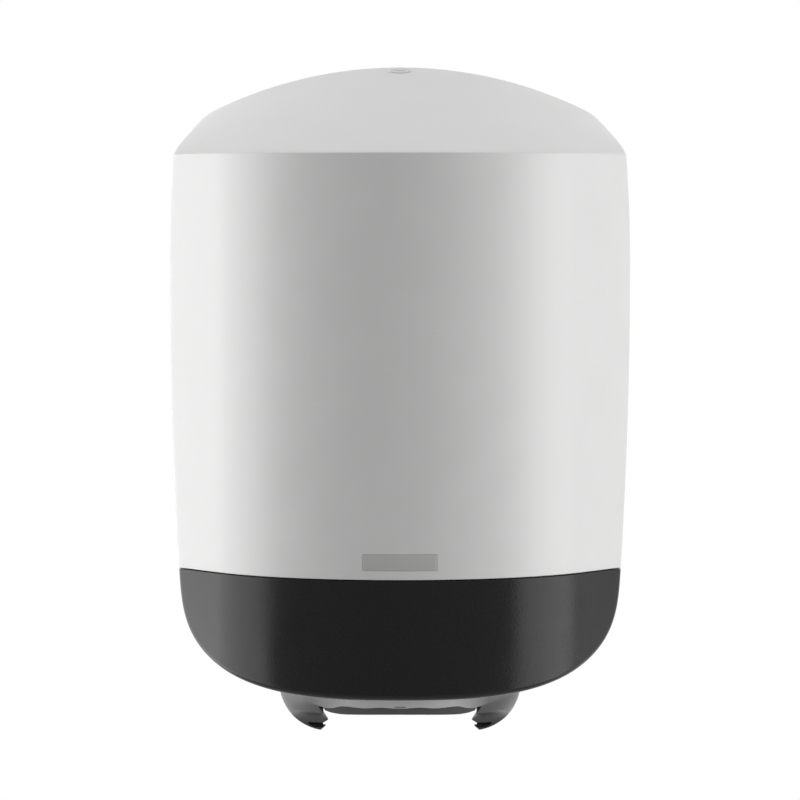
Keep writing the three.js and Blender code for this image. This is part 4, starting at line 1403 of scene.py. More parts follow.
    def ear_span(self, side: int) -> Flat:
        """Where a hinge ear starts and ends across."""
        near = self.lug_spread + self.lug_width / 2 + FORM.run_gap + FORM.fit_gap
        return (near, near + self.ear_width) if side > 0 else (-near - self.ear_width, -near)

    def ear(self, side: int) -> Solid:
        """An ear that stands on the floor and is round about the hinge.

        Args:
            side: 1 for the right-hand one, -1 for the left-hand one.

        Returns:
            The ear.
        """
        foot = FORM.wall / 2 + FORM.run_gap
        outline = [(-(FORM.hinge_off + self.ear_radius), foot),
                   *arc(-FORM.hinge_off, FORM.hinge_level, self.ear_radius, 180, 0, 28),
                   (-(FORM.hinge_off - self.ear_radius), foot)]
        return prism("ear", outline, *self.ear_span(side), across)

    def hole(self, x: float, y: float, top: float, length: float) -> Solid:
        """The hole for a screw, which ends a little under it."""
        return bar(x, y, SCREWS.clearance, top - length - FORM.run_gap, top + FORM.overrun, 24)

    def build(self) -> None:
        """Makes the base with its tongue, seat, posts and ears."""
        outer, inner = self.rows(0), self.rows(FORM.wall)
        skin = Skin().patch(outer).patch(inner)
        skin.patch([open_edge(outer, outer[-1]), open_edge(inner, inner[-1])]).patch([outer[0], inner[0]])
        piece = skin.piece("base")
        gap = FORM.wall + FORM.fit_gap
        foot = FORM.seam_level - self.tongue_drop
        adds = [self.band(FORM.wall / 2, gap + self.tongue_wall, foot, FORM.seam_level - FORM.seam_gap * 2),
                self.band(gap, gap + self.tongue_wall, foot, FORM.seam_level + SCREWS.tongue_rise)]
        seat = bar(0, -FORM.axis, self.mouth_radius + self.seat_width, -FORM.edge_radius, self.seat_level, 96)
        adds.append(worked(seat, [self.bulk(FORM.wall / 2)], Work.KEEP))
        cuts = [bar(0, -FORM.axis, self.mouth_radius, -FORM.edge_radius, self.seat_level + FORM.overrun, 128)]
        floor = FORM.wall + FORM.run_gap - self.sag
        for x, y, _, _ in SCREWS.cover():
            front = abs(x) < SCREWS.rear_half - FORM.fit_gap
            low = floor if front else FORM.seam_level - self.rear_post_drop
            adds.append(bar(x, y, SCREWS.post_radius, low, SCREWS.post_top))
            cuts.append(self.hole(x, y, SCREWS.post_top, self.screw_length))
            if not front:
                wall = math.copysign(FORM.side_half(FORM.seam_level) - FORM.wall * self.rear_web_bite, x)
                half = self.rear_web_width / 2
                adds.append(block(min(x, wall), max(x, wall), y + half, y - half, low,
                                  FORM.seam_level - FORM.seam_gap * 2))
        for x, y in SCREWS.around(SCREWS.shelf_reach, 4, math.pi / 4):
            adds.append(bar(x, y, self.shelf_post_radius, floor, self.shelf_level - FORM.fit_gap))
            cuts.append(self.hole(x, y, self.shelf_level - FORM.fit_gap, self.screw_length))
        for x, y in SCREWS.around(SCREWS.nozzle_reach, 3, math.pi / 2):
            cuts.append(self.hole(x, y, self.seat_level, self.seat_screw_length))
        for side in (-1, 1):
            adds.append(self.ear(side))
            left, right = self.ear_span(side)
            ring = circle(-FORM.hinge_off, FORM.hinge_level, self.pin_hole, 24)
            cuts.append(prism("pin_hole", ring, left - FORM.overrun, right + FORM.overrun, across))
            middle, half = side * self.lug_spread, self.lug_width / 2 + FORM.run_gap
            front_end = -(FORM.hinge_off + self.lug_radius + FORM.overrun)
            cuts.append(block(middle - half, middle + half, 0, front_end, -FORM.edge_radius, FORM.hinge_level))
        worked(piece, adds, Work.JOIN)
        worked(piece, cuts, Work.CUT)
        carried(piece, Carrier.FRONT, CHARCOAL, "base_shell")


@dataclass
class OutletNozzle:
    """The glossy bowl under the base, cut away at its front and rear to leave two slit claws."""

    radius: float = 70 * MM
    bend: float = 29 * MM
    bend_level: float = -2.14 * MM
    bend_end: float = -82
    flange_radius: float = 78.5 * MM
    flange_thickness: float = 2.5 * MM
    seat_level: float = 9.5 * MM
    funnel_radius: float = 66 * MM
    brake_seat: float = 30 * MM
    web_underside: float = -14.2 * MM
    web_thickness: float = 3 * MM
    outlet_radius: float = 20 * MM
    well_rise: float = 6 * MM
    claw_half: float = 44.3 * MM
    upper_tooth: Flat = (41.5 * MM, -24.5 * MM)
    tooth_root: float = -20.9 * MM
    slit_top: float = -26.2 * MM
    slit_height: float = 1.7 * MM
    slit_depth: float = 8.4 * MM
    slit_end_top: float = -25.6 * MM
    slit_end_height: float = 0.7 * MM
    slit_tilt: float = math.radians(12)
    lower_tooth: Flat = (42.8 * MM, -28 * MM)
    claw_tip: Flat = (45.9 * MM, -30.5 * MM)
    claw_root_depth: float = 46 * MM
    claw_tip_depth: float = 3.5 * MM
    claw_flare: int = 4
    lip_step: float = 0.3 * MM
    edge: float = 0.25 * MM
    gate: Flat = (3.3 * MM, 0.55 * MM)
    gate_depth: float = 1.4 * MM
    lip_floor: tuple[Flat, ...] = (
        (0, -14.7 * MM), (12.4 * MM, -14.85 * MM), (20.6 * MM, -15.1 * MM), (28.2 * MM, -15.35 * MM),
        (32 * MM, -15.45 * MM), (35 * MM, -15.4 * MM), (38.6 * MM, -15.05 * MM), (40.5 * MM, -14.7 * MM),
        (43.4 * MM, -13.9 * MM))
    lip_low: float = -15.8 * MM
    room_draft: float = 0.5
    root_pocket: tuple[Flat, ...] = ((46.2 * MM, -11.5 * MM), (43.6 * MM, -11.9 * MM), (42.6 * MM, -13.4 * MM),
                                     (42.6 * MM, -16.4 * MM), (44.2 * MM, -14.6 * MM))
    root_depth: float = 32 * MM
    bevel_near: Flat = (42 * MM, 1.2 * MM)
    bevel_far: Flat = (52.6 * MM, 0.7 * MM)
    bevel_middle: Flat = (49 * MM, 2 * MM)
    bevel_depth: float = 2.4 * MM

    @property
    def deep(self) -> float:
        """A level under the claws' tips, for what is cut away down there."""
        return self.claw_tip[1] - FORM.overrun

    def claw_room(self) -> list[Flat]:
        """The outline of the room between the claws, with the teeth.

        Returns:
            The outline's points.
        """
        right = [*self.lip_floor, (self.claw_half, self.lip_floor[-1][1]), (self.claw_half, self.tooth_root),
                 self.upper_tooth, (self.claw_half, self.slit_top),
                 (self.claw_half, self.slit_top - self.slit_height), self.lower_tooth, self.claw_tip,
                 (self.claw_tip[0], self.deep)]
        return right + [(-x, level) for x, level in right[:0:-1]]

    def claw_slit(self, side: int) -> Solid:
        """The slit of one claw: it narrows on its way in and rises towards the wall.

        Args:
            side: 1 for the right-hand claw, -1 for the left-hand one.

        Returns:
            The wedge to cut out.
        """
        end = self.claw_half + self.slit_depth
        outline = [(self.claw_half, self.slit_top - self.slit_height),
                   (end, self.slit_end_top - self.slit_end_height),
                   (end, self.slit_end_top), (self.claw_half, self.slit_top)]
        outline = [(side * x, level) for x, level in outline]
        reach, rise = 2 * self.claw_tip_depth, math.tan(self.slit_tilt)
        front = -FORM.axis - self.claw_tip_depth
        return prism("slit", outline, -FORM.axis + reach, -FORM.axis - reach,
                     lambda x, up, way: (x, way, up + (way - front) * rise))

    def claw_bevel(self, side: int) -> Solid:
        """What is taken off over a lower tooth, so that its front slopes up into the slit.

        Args:
            side: 1 for the right-hand claw, -1 for the left-hand one.

        Returns:
            The wedge to cut out.
        """
        face = -FORM.axis - self.claw_tip_depth
        ahead = face - 2 * self.claw_tip_depth
        run = self.slit_depth
        rows = []
        for x, drop in (self.bevel_near, self.bevel_middle, self.bevel_far):
            share = (x - self.claw_half) / run
            top = lerp(self.slit_top, self.slit_end_top, share) - self.slit_height / 2
            low = lerp(self.slit_top - self.slit_height, self.slit_end_top - self.slit_end_height, share) - drop
            rows.append([(side * x, ahead, top), (side * x, face + self.bevel_depth, top),
                         (side * x, face - FORM.fit_gap, low), (side * x, ahead, low), (side * x, ahead, top)])
        skin = Skin().patch(rows)
        skin.face(*rows[0][:4])
        skin.face(*rows[-1][:4])
        return skin.piece("bevel")

    def claw_flank(self, side: int) -> list[Flat]:
        """The outline, along and up, of what is cut away in front of the claws or behind them.

        Args:
            side: 1 for behind the claws, -1 for in front of them.

        Returns:
            The outline's points.
        """
        outline = []
        start = (self.web_underside - self.lip_low) / (self.web_underside - self.deep)
        for share in spread(start, 1, 28):
            depth = lerp(self.claw_tip_depth, self.claw_root_depth, (1 - share) ** self.claw_flare)
            outline.append((-FORM.axis + side * depth, lerp(self.web_underside, self.deep, share)))
        reach = -FORM.axis + side * (self.radius + FORM.overrun)
        return [*outline, (reach, self.deep), (reach, self.lip_low)]

    def lip_cut(self) -> Solid:
        """What is taken off the bowl's outside under its scalloped ring.

        Returns:
            The ring to cut out.
        """
        radius = self.bend - self.lip_step
        across = self.radius - self.bend
        beyond = self.radius + FORM.overrun
        rows = []
        for angle in spread(0, 2 * math.pi, 192):
            cos, sin = math.cos(angle), math.sin(angle)
            level = LIP.level_at(self.radius * cos)
            start = math.degrees(math.asin((level - self.bend_level) / radius))
            inner = arc(across, self.bend_level, radius, start, self.bend_end, 30)
            outline = [(beyond, level), *inner, (inner[-1][0], self.deep), (beyond, self.deep)]
            rows.append([(r * cos, -FORM.axis + r * sin, z) for r, z in [*outline, outline[0]]])
        return Skin().patch(rows).piece("lip_cut")

    def build(self) -> None:
        """Makes the bowl with its flange, funnel, well and claws."""
        seat = self.seat_level + FORM.fit_gap
        top = seat + self.flange_thickness
        web = self.web_underside + self.web_thickness
        outline = [
            (self.flange_radius, top), (self.flange_radius, seat), (self.radius, seat),
            *arc(self.radius - self.bend, self.bend_level, self.bend, 0, self.bend_end, 36),
            (self.upper_tooth[0], self.lower_tooth[1]), (self.upper_tooth[0], self.web_underside),
            (self.outlet_radius, self.web_underside), (self.outlet_radius, web), (self.brake_seat, web),
            (self.brake_seat, web + self.well_rise), (self.funnel_radius, self.seat_level),
            (self.funnel_radius + self.flange_thickness, top),
        ]
        piece = turned("outlet", outline, 0, -FORM.axis, 160)
        room = prism("room", self.claw_room(), -FORM.axis + FORM.radius, -FORM.axis - FORM.radius,
                     lambda x, up, way: (x * (1 + self.room_draft * (way + FORM.axis)), way, up))
        cuts = [self.lip_cut(), room]
        for side in (-1, 1):
            cuts.append(prism("flank", self.claw_flank(side), -self.flange_radius, self.flange_radius, across))
            cuts += [self.claw_slit(side), self.claw_bevel(side)]
            pocket = [(side * x, level) for x, level in self.root_pocket]
            cuts.append(prism("pocket", pocket, -FORM.axis - self.radius, -FORM.axis - self.root_depth,
                              backwards))
        hole = bar(0, 0, SCREWS.clearance, self.seat_level - FORM.overrun, top + FORM.overrun, 24)
        cuts.append(IN_RING.made("flange_holes", hole, NOZZLE, Count=3, Reach=SCREWS.nozzle_reach,
                                 Start=math.pi / 2))
        hole = bar(0, 0, SCREWS.ring_hole, web - SCREWS.ring_pilot, web + FORM.overrun, 16)
        cuts.append(IN_RING.made("ring_holes", hole, NOZZLE, Count=3, Reach=SCREWS.ring_reach,
                                 Start=math.pi / 2))
        worked(piece, cuts, Work.CUT)
        eased(piece, self.edge, wanted=self.off_the_line)
        wide, high = self.gate
        level = LIP.level + high
        ellipse = [(wide * x, level + high * y) for x, y in circle(0, 0, 1, 24)]
        face = -FORM.axis - (self.radius - self.bend + math.sqrt(self.bend**2 - (level - self.bend_level)**2))
        gate = prism("gate", ellipse, face - FORM.overrun, face + self.gate_depth, backwards)
        worked(piece, [gate], Work.CUT)
        carried(piece, Carrier.FRONT, NOZZLE, "outlet_nozzle")

    def off_the_line(self, middle: Vector) -> bool:
        """Whether an edge is none of the step's under the ring, which stays crisp."""
        return abs(middle.z + FORM.mount_level - LIP.level_at(middle.x)) > 2 * self.lip_step


@dataclass
class ScrewSet:
    """Pan-head self-tapping screws of one size with a six-sided socket, repeated where they stand."""

    name: str
    places: list[Flat]
    seat: float
    length: float = 12 * MM
    radius: float = SCREWS.screw_radius
    head_radius: float = SCREWS.head_radius
    head_height: float = 2 * MM
    head_foot: float = 0.97
    head_edge: float = 0.08
    head_crown: float = 0.1
    socket_reach: float = 1.1 * MM
    socket_depth: float = 1.2 * MM
    thread_pitch: float = 0.75
    thread_depth: float = 0.2
    thread_flank: float = 0.3
    tip_length: float = 1.5
    tip_share: float = 0.3
    fineness: float = 0.13
    neck: float = 0.05 * MM
    sharp: float = 40
    steps: int = 24
    seed: int = 11

    @property
    def scale(self) -> float:
        """Size of the head against the largest screws' head."""
        return self.head_radius / SCREWS.head_radius

    def threaded(self, level: float, turn: float) -> float:
        """Radius of the shank at a level and a turn: a thread winds down to the tip.

        Args:
            level: Height on the shank.
            turn: Angle round it.

        Returns:
            The radius.
        """
        phase = (level / (self.thread_pitch * self.radius) - turn / (2 * math.pi)) % 1
        bite = self.thread_depth * min(abs(phase - 0.5) / self.thread_flank, 1)
        tip = min((level - self.seat + self.length) / (self.tip_length * self.radius), 1)
        return self.radius * (1 - bite) * lerp(self.tip_share, 1, max(tip, 0))

    def screw(self) -> Solid:
        """Makes one screw on the upright axis, with its head's underside at its seat.

        Returns:
            The screw.
        """
        height, radius, seat = self.head_height * self.scale, self.head_radius, self.seat
        head = [(radius * self.head_foot, seat), (radius, seat + self.head_edge * height)]
        head += [(radius * x, seat + height * lerp(self.head_crown, 1, y)) for x, y in arc(0, 0, 1, 4, 86, 10)]
        foot, neck = seat - self.length, seat - self.neck
        levels = spread(foot, neck, round(self.length / (self.fineness * self.radius)))
        rows = []
        for turn in [*spread(0, 2 * math.pi, self.steps)[:-1], 0]:
            shank = [(self.threaded(level, turn), level) for level in levels]
            outline = [(0, foot), *shank, (self.radius, seat), *head, (0, seat + height)]
            rows.append([(r * math.cos(turn), r * math.sin(turn), z) for r, z in outline])
        piece = Skin().patch(rows).piece("screw")
        socket = circle(0, 0, self.socket_reach * self.scale, 6)
        bottom = seat + height - self.socket_depth * self.scale
        return worked(piece, [prism("socket", socket, bottom, seat + 2 * height, upwards)], Work.CUT)

    def build(self) -> None:
        """Repeats the screw and puts the copies in place of their nodes."""
        master = self.screw()
        piece = AT_POINTS.made(self.name, master, STEEL, self.places, Loose_Turn=2 * math.pi, Seed=self.seed)
        nodes = [f"{self.name}_{index + 1}" for index in range(len(self.places))]
        piece.name = f"{self.name}s"
        carried(piece, Carrier.FRONT, STEEL, *nodes, sharp=self.sharp)


@dataclass
class RollShelf:
    """The ribbed ring on which the roll stands, with a rolled mouth that the paper is led through."""

    level: float = 22 * MM
    thickness: float = 6 * MM
    radius: float = 105 * MM
    mouth: float = 64 * MM
    lip: float = 7 * MM
    floor: float = 3.2 * MM
    rim_width: float = 3 * MM
    rim_rise: float = 5 * MM
    ribs: int = 8
    rib_width: float = 2 * MM
    ease: float = 0.5 * MM
    groove: float = 0.35 * MM
    grooves: tuple[float, ...] = (73 * MM, 78 * MM, 83 * MM)

    @property
    def screw_seat(self) -> float:
        """Level of the seat of its screws' heads."""
        return self.level + self.thickness - self.floor

    def outline(self) -> list[Flat]:
        """Its section, from the foot of the mouth out over the rim and back over the floor.

        Returns:
            The section's points as radius and level.
        """
        top = self.level + self.thickness
        rim, ease = self.radius - self.rim_width, self.ease
        under = self.mouth + self.floor
        points = [(self.mouth + ease, self.level - self.lip), (under - ease, self.level - self.lip),
                  (under, self.level - self.lip + ease),
                  *arc(under + ease, top - self.floor - ease, ease, 180, 90, 4),
                  *arc(self.radius - 2 * ease, top - self.floor + 2 * ease, 2 * ease, -90, 0, 6),
                  *arc(self.radius - ease, top + self.rim_rise - ease, ease, 0, 90, 4),
                  *arc(rim + ease, top + self.rim_rise - ease, ease, 90, 180, 4),
                  *arc(rim - self.rim_width, top + self.rim_width, self.rim_width, 0, -90, 8)]
        for reach in sorted(self.grooves, reverse=True):
            points += arc(reach, top, self.groove, 0, -180, 6)
        points += arc(self.mouth + self.floor, top - self.floor, self.floor, 90, 180, 12)
        return [*points, (self.mouth, self.level - self.lip + ease)]

    def build(self) -> None:
        """Makes the ring with its ribs, screw cups and holes."""
        piece = turned("roll_ring", self.outline(), 0, -FORM.axis, 160)
        top, start = self.level + self.thickness, self.mouth + self.floor / 2
        rib = block(0, self.radius - self.rim_width - start, self.rib_width / 2, -self.rib_width / 2,
                    self.level, top - FORM.run_gap)
        adds = [IN_RING.made("ribs", rib, SHELF, Count=self.ribs, Reach=start)]
        round_ring = {"Count": 4, "Reach": SCREWS.shelf_reach, "Start": math.pi / 4}
        cup = bar(0, 0, SCREWS.head_radius + self.floor, self.level, top - FORM.run_gap)
        sink = bar(0, 0, SCREWS.head_radius + FORM.fit_gap, self.screw_seat - FORM.fit_gap, top + FORM.overrun)
        hole = bar(0, 0, SCREWS.clearance, self.level - FORM.overrun, top)
        adds.append(IN_RING.made("cups", cup, SHELF, **round_ring))
        worked(piece, adds, Work.JOIN)
        worked(piece, [IN_RING.made("sinks", sink, SHELF, **round_ring),
                       IN_RING.made("holes", hole, SHELF, **round_ring)], Work.CUT)
        carried(piece, Carrier.FRONT, SHELF, "roll_shelf")


@dataclass
class PaperBrake:
    """The rubber disc that holds the paper back with its fingers, and the ring that clamps it."""

    foot: float = -10.9 * MM
    radius: float = 28.6 * MM
    thickness: float = 2.2 * MM
    thinned: float = 0.7
    ease: float = 0.3 * MM
    edge: float = 0.12 * MM
    hole: float = 6 * MM
    slit_reach: float = 17 * MM
    slit_width: float = 1 * MM
    fingers: int = 8
    ring_thickness: float = 2.4 * MM
    ring_inner: float = 20.5 * MM
    steps: int = 96

    @property
    def ring_top(self) -> float:
        """Level of the top of the ring."""
        return self.foot + self.thickness + FORM.fit_gap + self.ring_thickness

    def holes(self) -> Solid:
        """The three screw holes of disc and ring."""
        hole = bar(0, 0, SCREWS.ring_hole, self.foot - FORM.overrun, self.ring_top + FORM.overrun, 16)
        return IN_RING.made("brake_holes", hole, RUBBER, Count=3, Reach=SCREWS.ring_reach, Start=math.pi / 2)

    def disc(self) -> None:
        """Makes the disc: thinner towards its hole, and slit into fingers."""
        ease, top = self.ease, self.foot + self.thickness
        thin = self.foot + self.thickness * self.thinned
        outline = [(self.hole + ease, self.foot), (self.radius - ease, self.foot),
                   (self.radius, self.foot + ease), (self.radius, top - ease), (self.radius - ease, top),
                   (self.slit_reach + ease, top), (self.slit_reach - ease, top - ease / 2),
                   (self.hole + ease, thin), (self.hole, thin - ease), (self.hole, self.foot + ease)]
        piece = turned("brake_disc", outline, 0, -FORM.axis, self.steps)
        start, half = self.hole - FORM.overrun, self.slit_width / 2
        length = self.slit_reach - start - half
        ring = [(0, -half), *arc(length, 0, half, -90, 90, 10), (0, half)]
        slit = prism("slit", ring, self.foot - FORM.overrun, top + FORM.overrun, upwards)
        slits = IN_RING.made("brake_slits", slit, RUBBER, Count=self.fingers, Reach=start)
        worked(piece, [slits, self.holes()], Work.CUT)
        carried(bevelled(piece, self.edge), Carrier.FRONT, RUBBER, "paper_brake")

    def ring(self) -> None:
        """Makes the clamping ring."""
        foot, top, ease = self.foot + self.thickness + FORM.fit_gap, self.ring_top, self.ease
        slope = self.ring_thickness / 2
        outline = [(self.ring_inner, foot), (self.radius - ease, foot), (self.radius, foot + ease),
                   (self.radius, top - 2 * ease),
                   *arc(self.radius - 2 * ease, top - 2 * ease, 2 * ease, 0, 90, 5),
                   (self.ring_inner + slope, top), (self.ring_inner, top - slope)]
        piece = turned("clamp_ring", outline, 0, -FORM.axis, self.steps)
        worked(piece, [self.holes()], Work.CUT)
        carried(bevelled(piece, self.edge), Carrier.FRONT, SHELF, "brake_ring")

    def build(self) -> None:
        """Makes the disc and the ring."""
        self.disc()
        self.ring()


@dataclass
class Hinge:
    """The two steel pins of the front, and the nylon bushes in the wall plate's lugs."""

    bush_radius: float = 4.4 * MM
    pin_radius: float = 2.5 * MM
    head_radius: float = 4 * MM
    head_length: float = 1.8 * MM
    ease: float = 0.3 * MM
    steps: int = 48

    def place(self, side: int) -> Matrix:
        """Turns a form made upwards about the axis so that it points outwards along the hinge."""
        middle = Matrix.Translation((0, -FORM.hinge_off, FORM.hinge_level))
        return middle @ Matrix.Rotation(side * math.pi / 2, 4, "Y")

    def bush(self, side: int, word: str) -> None:
        """Makes a bush with eased ends.

        Args:
            side: 1 for the right-hand one, -1 for the left-hand one.
            word: The side's name.
        """
        base = BaseShell()
        near, far = base.lug_spread - base.lug_width / 2, base.lug_spread + base.lug_width / 2
        bore, ease = self.pin_radius + FORM.fit_gap, self.ease
        outline = [(bore + ease, near), (self.bush_radius - ease, near), (self.bush_radius, near + ease),
                   (self.bush_radius, far - ease), (self.bush_radius - ease, far), (bore + ease, far),
                   (bore, far - ease), (bore, near + ease)]
        piece = turned(f"bush_{word}", outline, 0, 0, self.steps, self.place(side))
        carried(piece, Carrier.ROOT, NYLON, f"hinge_bush_{word}")

    def pin(self, side: int, word: str) -> None:
        """Makes a pin with a rounded head and a chamfered point.

        Args:
            side: 1 for the right-hand one, -1 for the left-hand one.
            word: The side's name.
        """
        base = BaseShell()
        near = base.lug_spread - base.lug_width / 2 - FORM.run_gap
        head = base.ear_span(1)[1] + FORM.fit_gap
        end, ease = head + self.head_length, 2 * self.ease
        outline = [(0, near), (self.pin_radius - ease, near), (self.pin_radius, near + ease),
                   (self.pin_radius, head), (self.head_radius - self.ease, head),
                   (self.head_radius, head + self.ease), (self.head_radius, end - ease),
                   *arc(self.head_radius - ease, end - ease, ease, 0, 90, 5), (0, end)]
        piece = turned(f"pin_{word}", outline, 0, 0, self.steps, self.place(side))
        carried(piece, Carrier.FRONT, STEEL, f"hinge_pin_{word}")

    def build(self) -> None:
        """Makes both sides."""
        for side, word in ((-1, "left"), (1, "right")):
            self.bush(side, word)
            self.pin(side, word)


@dataclass
class KeyLock:
    """The key lock in the top: its bezel, the barrel with the key's slot, the cam, its screw and the nut."""

    bezel_radius: float = 6.6 * MM
    bezel_thickness: float = 1 * MM
    collar: float = 0.25 * MM
    ease: float = 0.2 * MM
    seat_gap: float = 0.06 * MM
    tube_radius: float = 5.4 * MM
    barrel_radius: float = 4.3 * MM
    face_radius: float = 4.9 * MM
    face_share: float = 0.7
    face_ease: float = 0.25 * MM
    slot_edge: float = 0.1 * MM
    slot: Point = (7 * MM, 1.6 * MM, 3 * MM)
    nut_radius: float = 7.4 * MM
    nut_thickness: float = 2.6 * MM
    nut_bevel: float = 0.6 * MM
    cam_drop: float = 10.5 * MM
    cam_thickness: float = 2.2 * MM
    hub_radius: float = 3.5 * MM
    cam_reach: float = 7 * MM
    cam_width: float = 4.6 * MM
    screw_length: float = 5 * MM
    screw_radius: float = 1 * MM
    screw_head: float = 2.4 * MM
    steps: int = 72

    def on_axis(self, across: float, along: float, up: float) -> Point:
        """A point given on the lock's own axes."""
        return tuple(FORM.lock_place @ Vector((across, along, up)))

    def round_piece(self, name: str, outline: list[Flat]) -> Solid:
        """A form turned about the lock's axis."""
        return turned(name, outline, 0, 0, self.steps, FORM.lock_place)

    def pilot(self, bottom: float, top: float) -> Solid:
        """The hole for the cam's screw."""
        return self.round_piece("pilot", column(SCREWS.ring_hole, bottom, top))

    def bezel(self) -> None:
        """Makes the bezel: a thin round collar on a tube."""
        gap, foot = FORM.fit_gap, -(self.cam_drop - self.cam_thickness - FORM.fit_gap)
        face, ease = gap + self.collar, self.ease
        inner, mouth = self.barrel_radius + gap, self.face_radius + gap
        outline = [(inner, foot), (self.tube_radius - ease, foot), (self.tube_radius, foot + ease),
                   (self.tube_radius, self.seat_gap), (self.bezel_radius, self.seat_gap),
                   *arc(self.bezel_radius - ease * 2, face - ease * 2, ease * 2, 5, 90, 8),
                   (mouth + ease / 2, face), (mouth, face - ease / 2), (mouth, gap - self.bezel_thickness),
                   (inner, gap - self.bezel_thickness)]
        carried(self.round_piece("bezel", outline), Carrier.FRONT, LOCK, "lock_bezel")

    def barrel(self) -> None:
        """Makes the barrel with its slot for the key."""
        gap = FORM.fit_gap
        face, foot = gap + self.collar * self.face_share, -self.cam_drop + self.cam_thickness + gap
        shoulder, ease = 2 * gap - self.bezel_thickness, self.face_ease
        outline = [(0, foot), (self.barrel_radius - ease, foot), (self.barrel_radius, foot + ease),
                   (self.barrel_radius, shoulder), (self.face_radius, shoulder),
                   (self.face_radius, face - ease),
                   *arc(self.face_radius - ease, face - ease, ease, 30, 90, 3), (0, face)]
        piece = self.round_piece("barrel", outline)
        half, wide, deep = self.slot[0] / 2, self.slot[1] / 2, self.slot[2]
        ring = [*arc(half - wide, 0, wide, -90, 90, 12), *arc(wide - half, 0, wide, 90, 270, 12)]
        slot = prism("key_slot", ring, face - deep, face + deep, self.on_axis)
        top = -self.cam_drop + self.cam_thickness + self.screw_length
        worked(piece, [slot, self.pilot(-self.cam_drop - FORM.overrun, top)], Work.CUT)
        carried(bevelled(piece, self.slot_edge), Carrier.LOCK, LOCK, "lock_barrel")

    def cam(self) -> None:
        """Makes the cam: a tongue on a hub, which at rest points to the wall."""
        half = self.cam_width / 2
        ring = slotted(0, 0, self.hub_radius, half, self.cam_reach - half, 32)
        piece = prism("cam", ring, -self.cam_drop, -self.cam_drop + self.cam_thickness, self.on_axis)
        worked(piece, [self.pilot(-self.cam_drop - FORM.overrun, FORM.overrun)], Work.CUT)
        carried(eased(piece, self.face_ease), Carrier.LOCK, ZINC, "lock_cam")

    def nut(self) -> None:
        """Makes the six-sided nut, with its corners turned off."""
        top = -FORM.wall / math.cos(math.atan(FORM.top_slope)) - FORM.fit_gap
        foot, gap = top - self.nut_thickness, FORM.fit_gap
        piece = prism("nut", circle(0, 0, self.nut_radius, 6, 90), foot, top, self.on_axis)
        bevel, bore = self.nut_bevel, self.tube_radius + gap
        for word, work, mouth, body in (
                ("turned_off", Work.KEEP, self.nut_radius - bevel - gap, self.nut_radius + gap),
                ("bore", Work.CUT, bore + bevel, bore)):
            outline = [(0, foot - gap), (mouth, foot - gap), (body, foot + bevel), (body, top - bevel),
                       (mouth, top + gap), (0, top + gap)]
            worked(piece, [self.round_piece(word, outline)], work)
        carried(piece, Carrier.FRONT, ZINC, "lock_nut")

    def screw(self) -> None:
        """Makes the cam's screw, head down."""
        length = self.screw_length + self.cam_thickness
        screws = ScrewSet("cam_screw", [(0, 0)], 0.0, length, self.screw_radius, self.screw_head)
        master = screws.screw()
        turned_over = Matrix.Rotation(math.pi, 4, "X")
        shift = Matrix.Translation((0, 0, -self.cam_drop - FORM.fit_gap))
        drop = Matrix.Translation((0, 0, -FORM.mount_level))
        master.data.transform(drop @ FORM.lock_place @ shift @ turned_over @ drop.inverted())
        master.name = "key_cam_screw"
        carried(master, Carrier.LOCK, STEEL, "cam_screw", sharp=screws.sharp)

    def build(self) -> None:
        """Makes the lock's pieces."""
        self.bezel()
        self.barrel()
        self.cam()
        self.nut()
        self.screw()


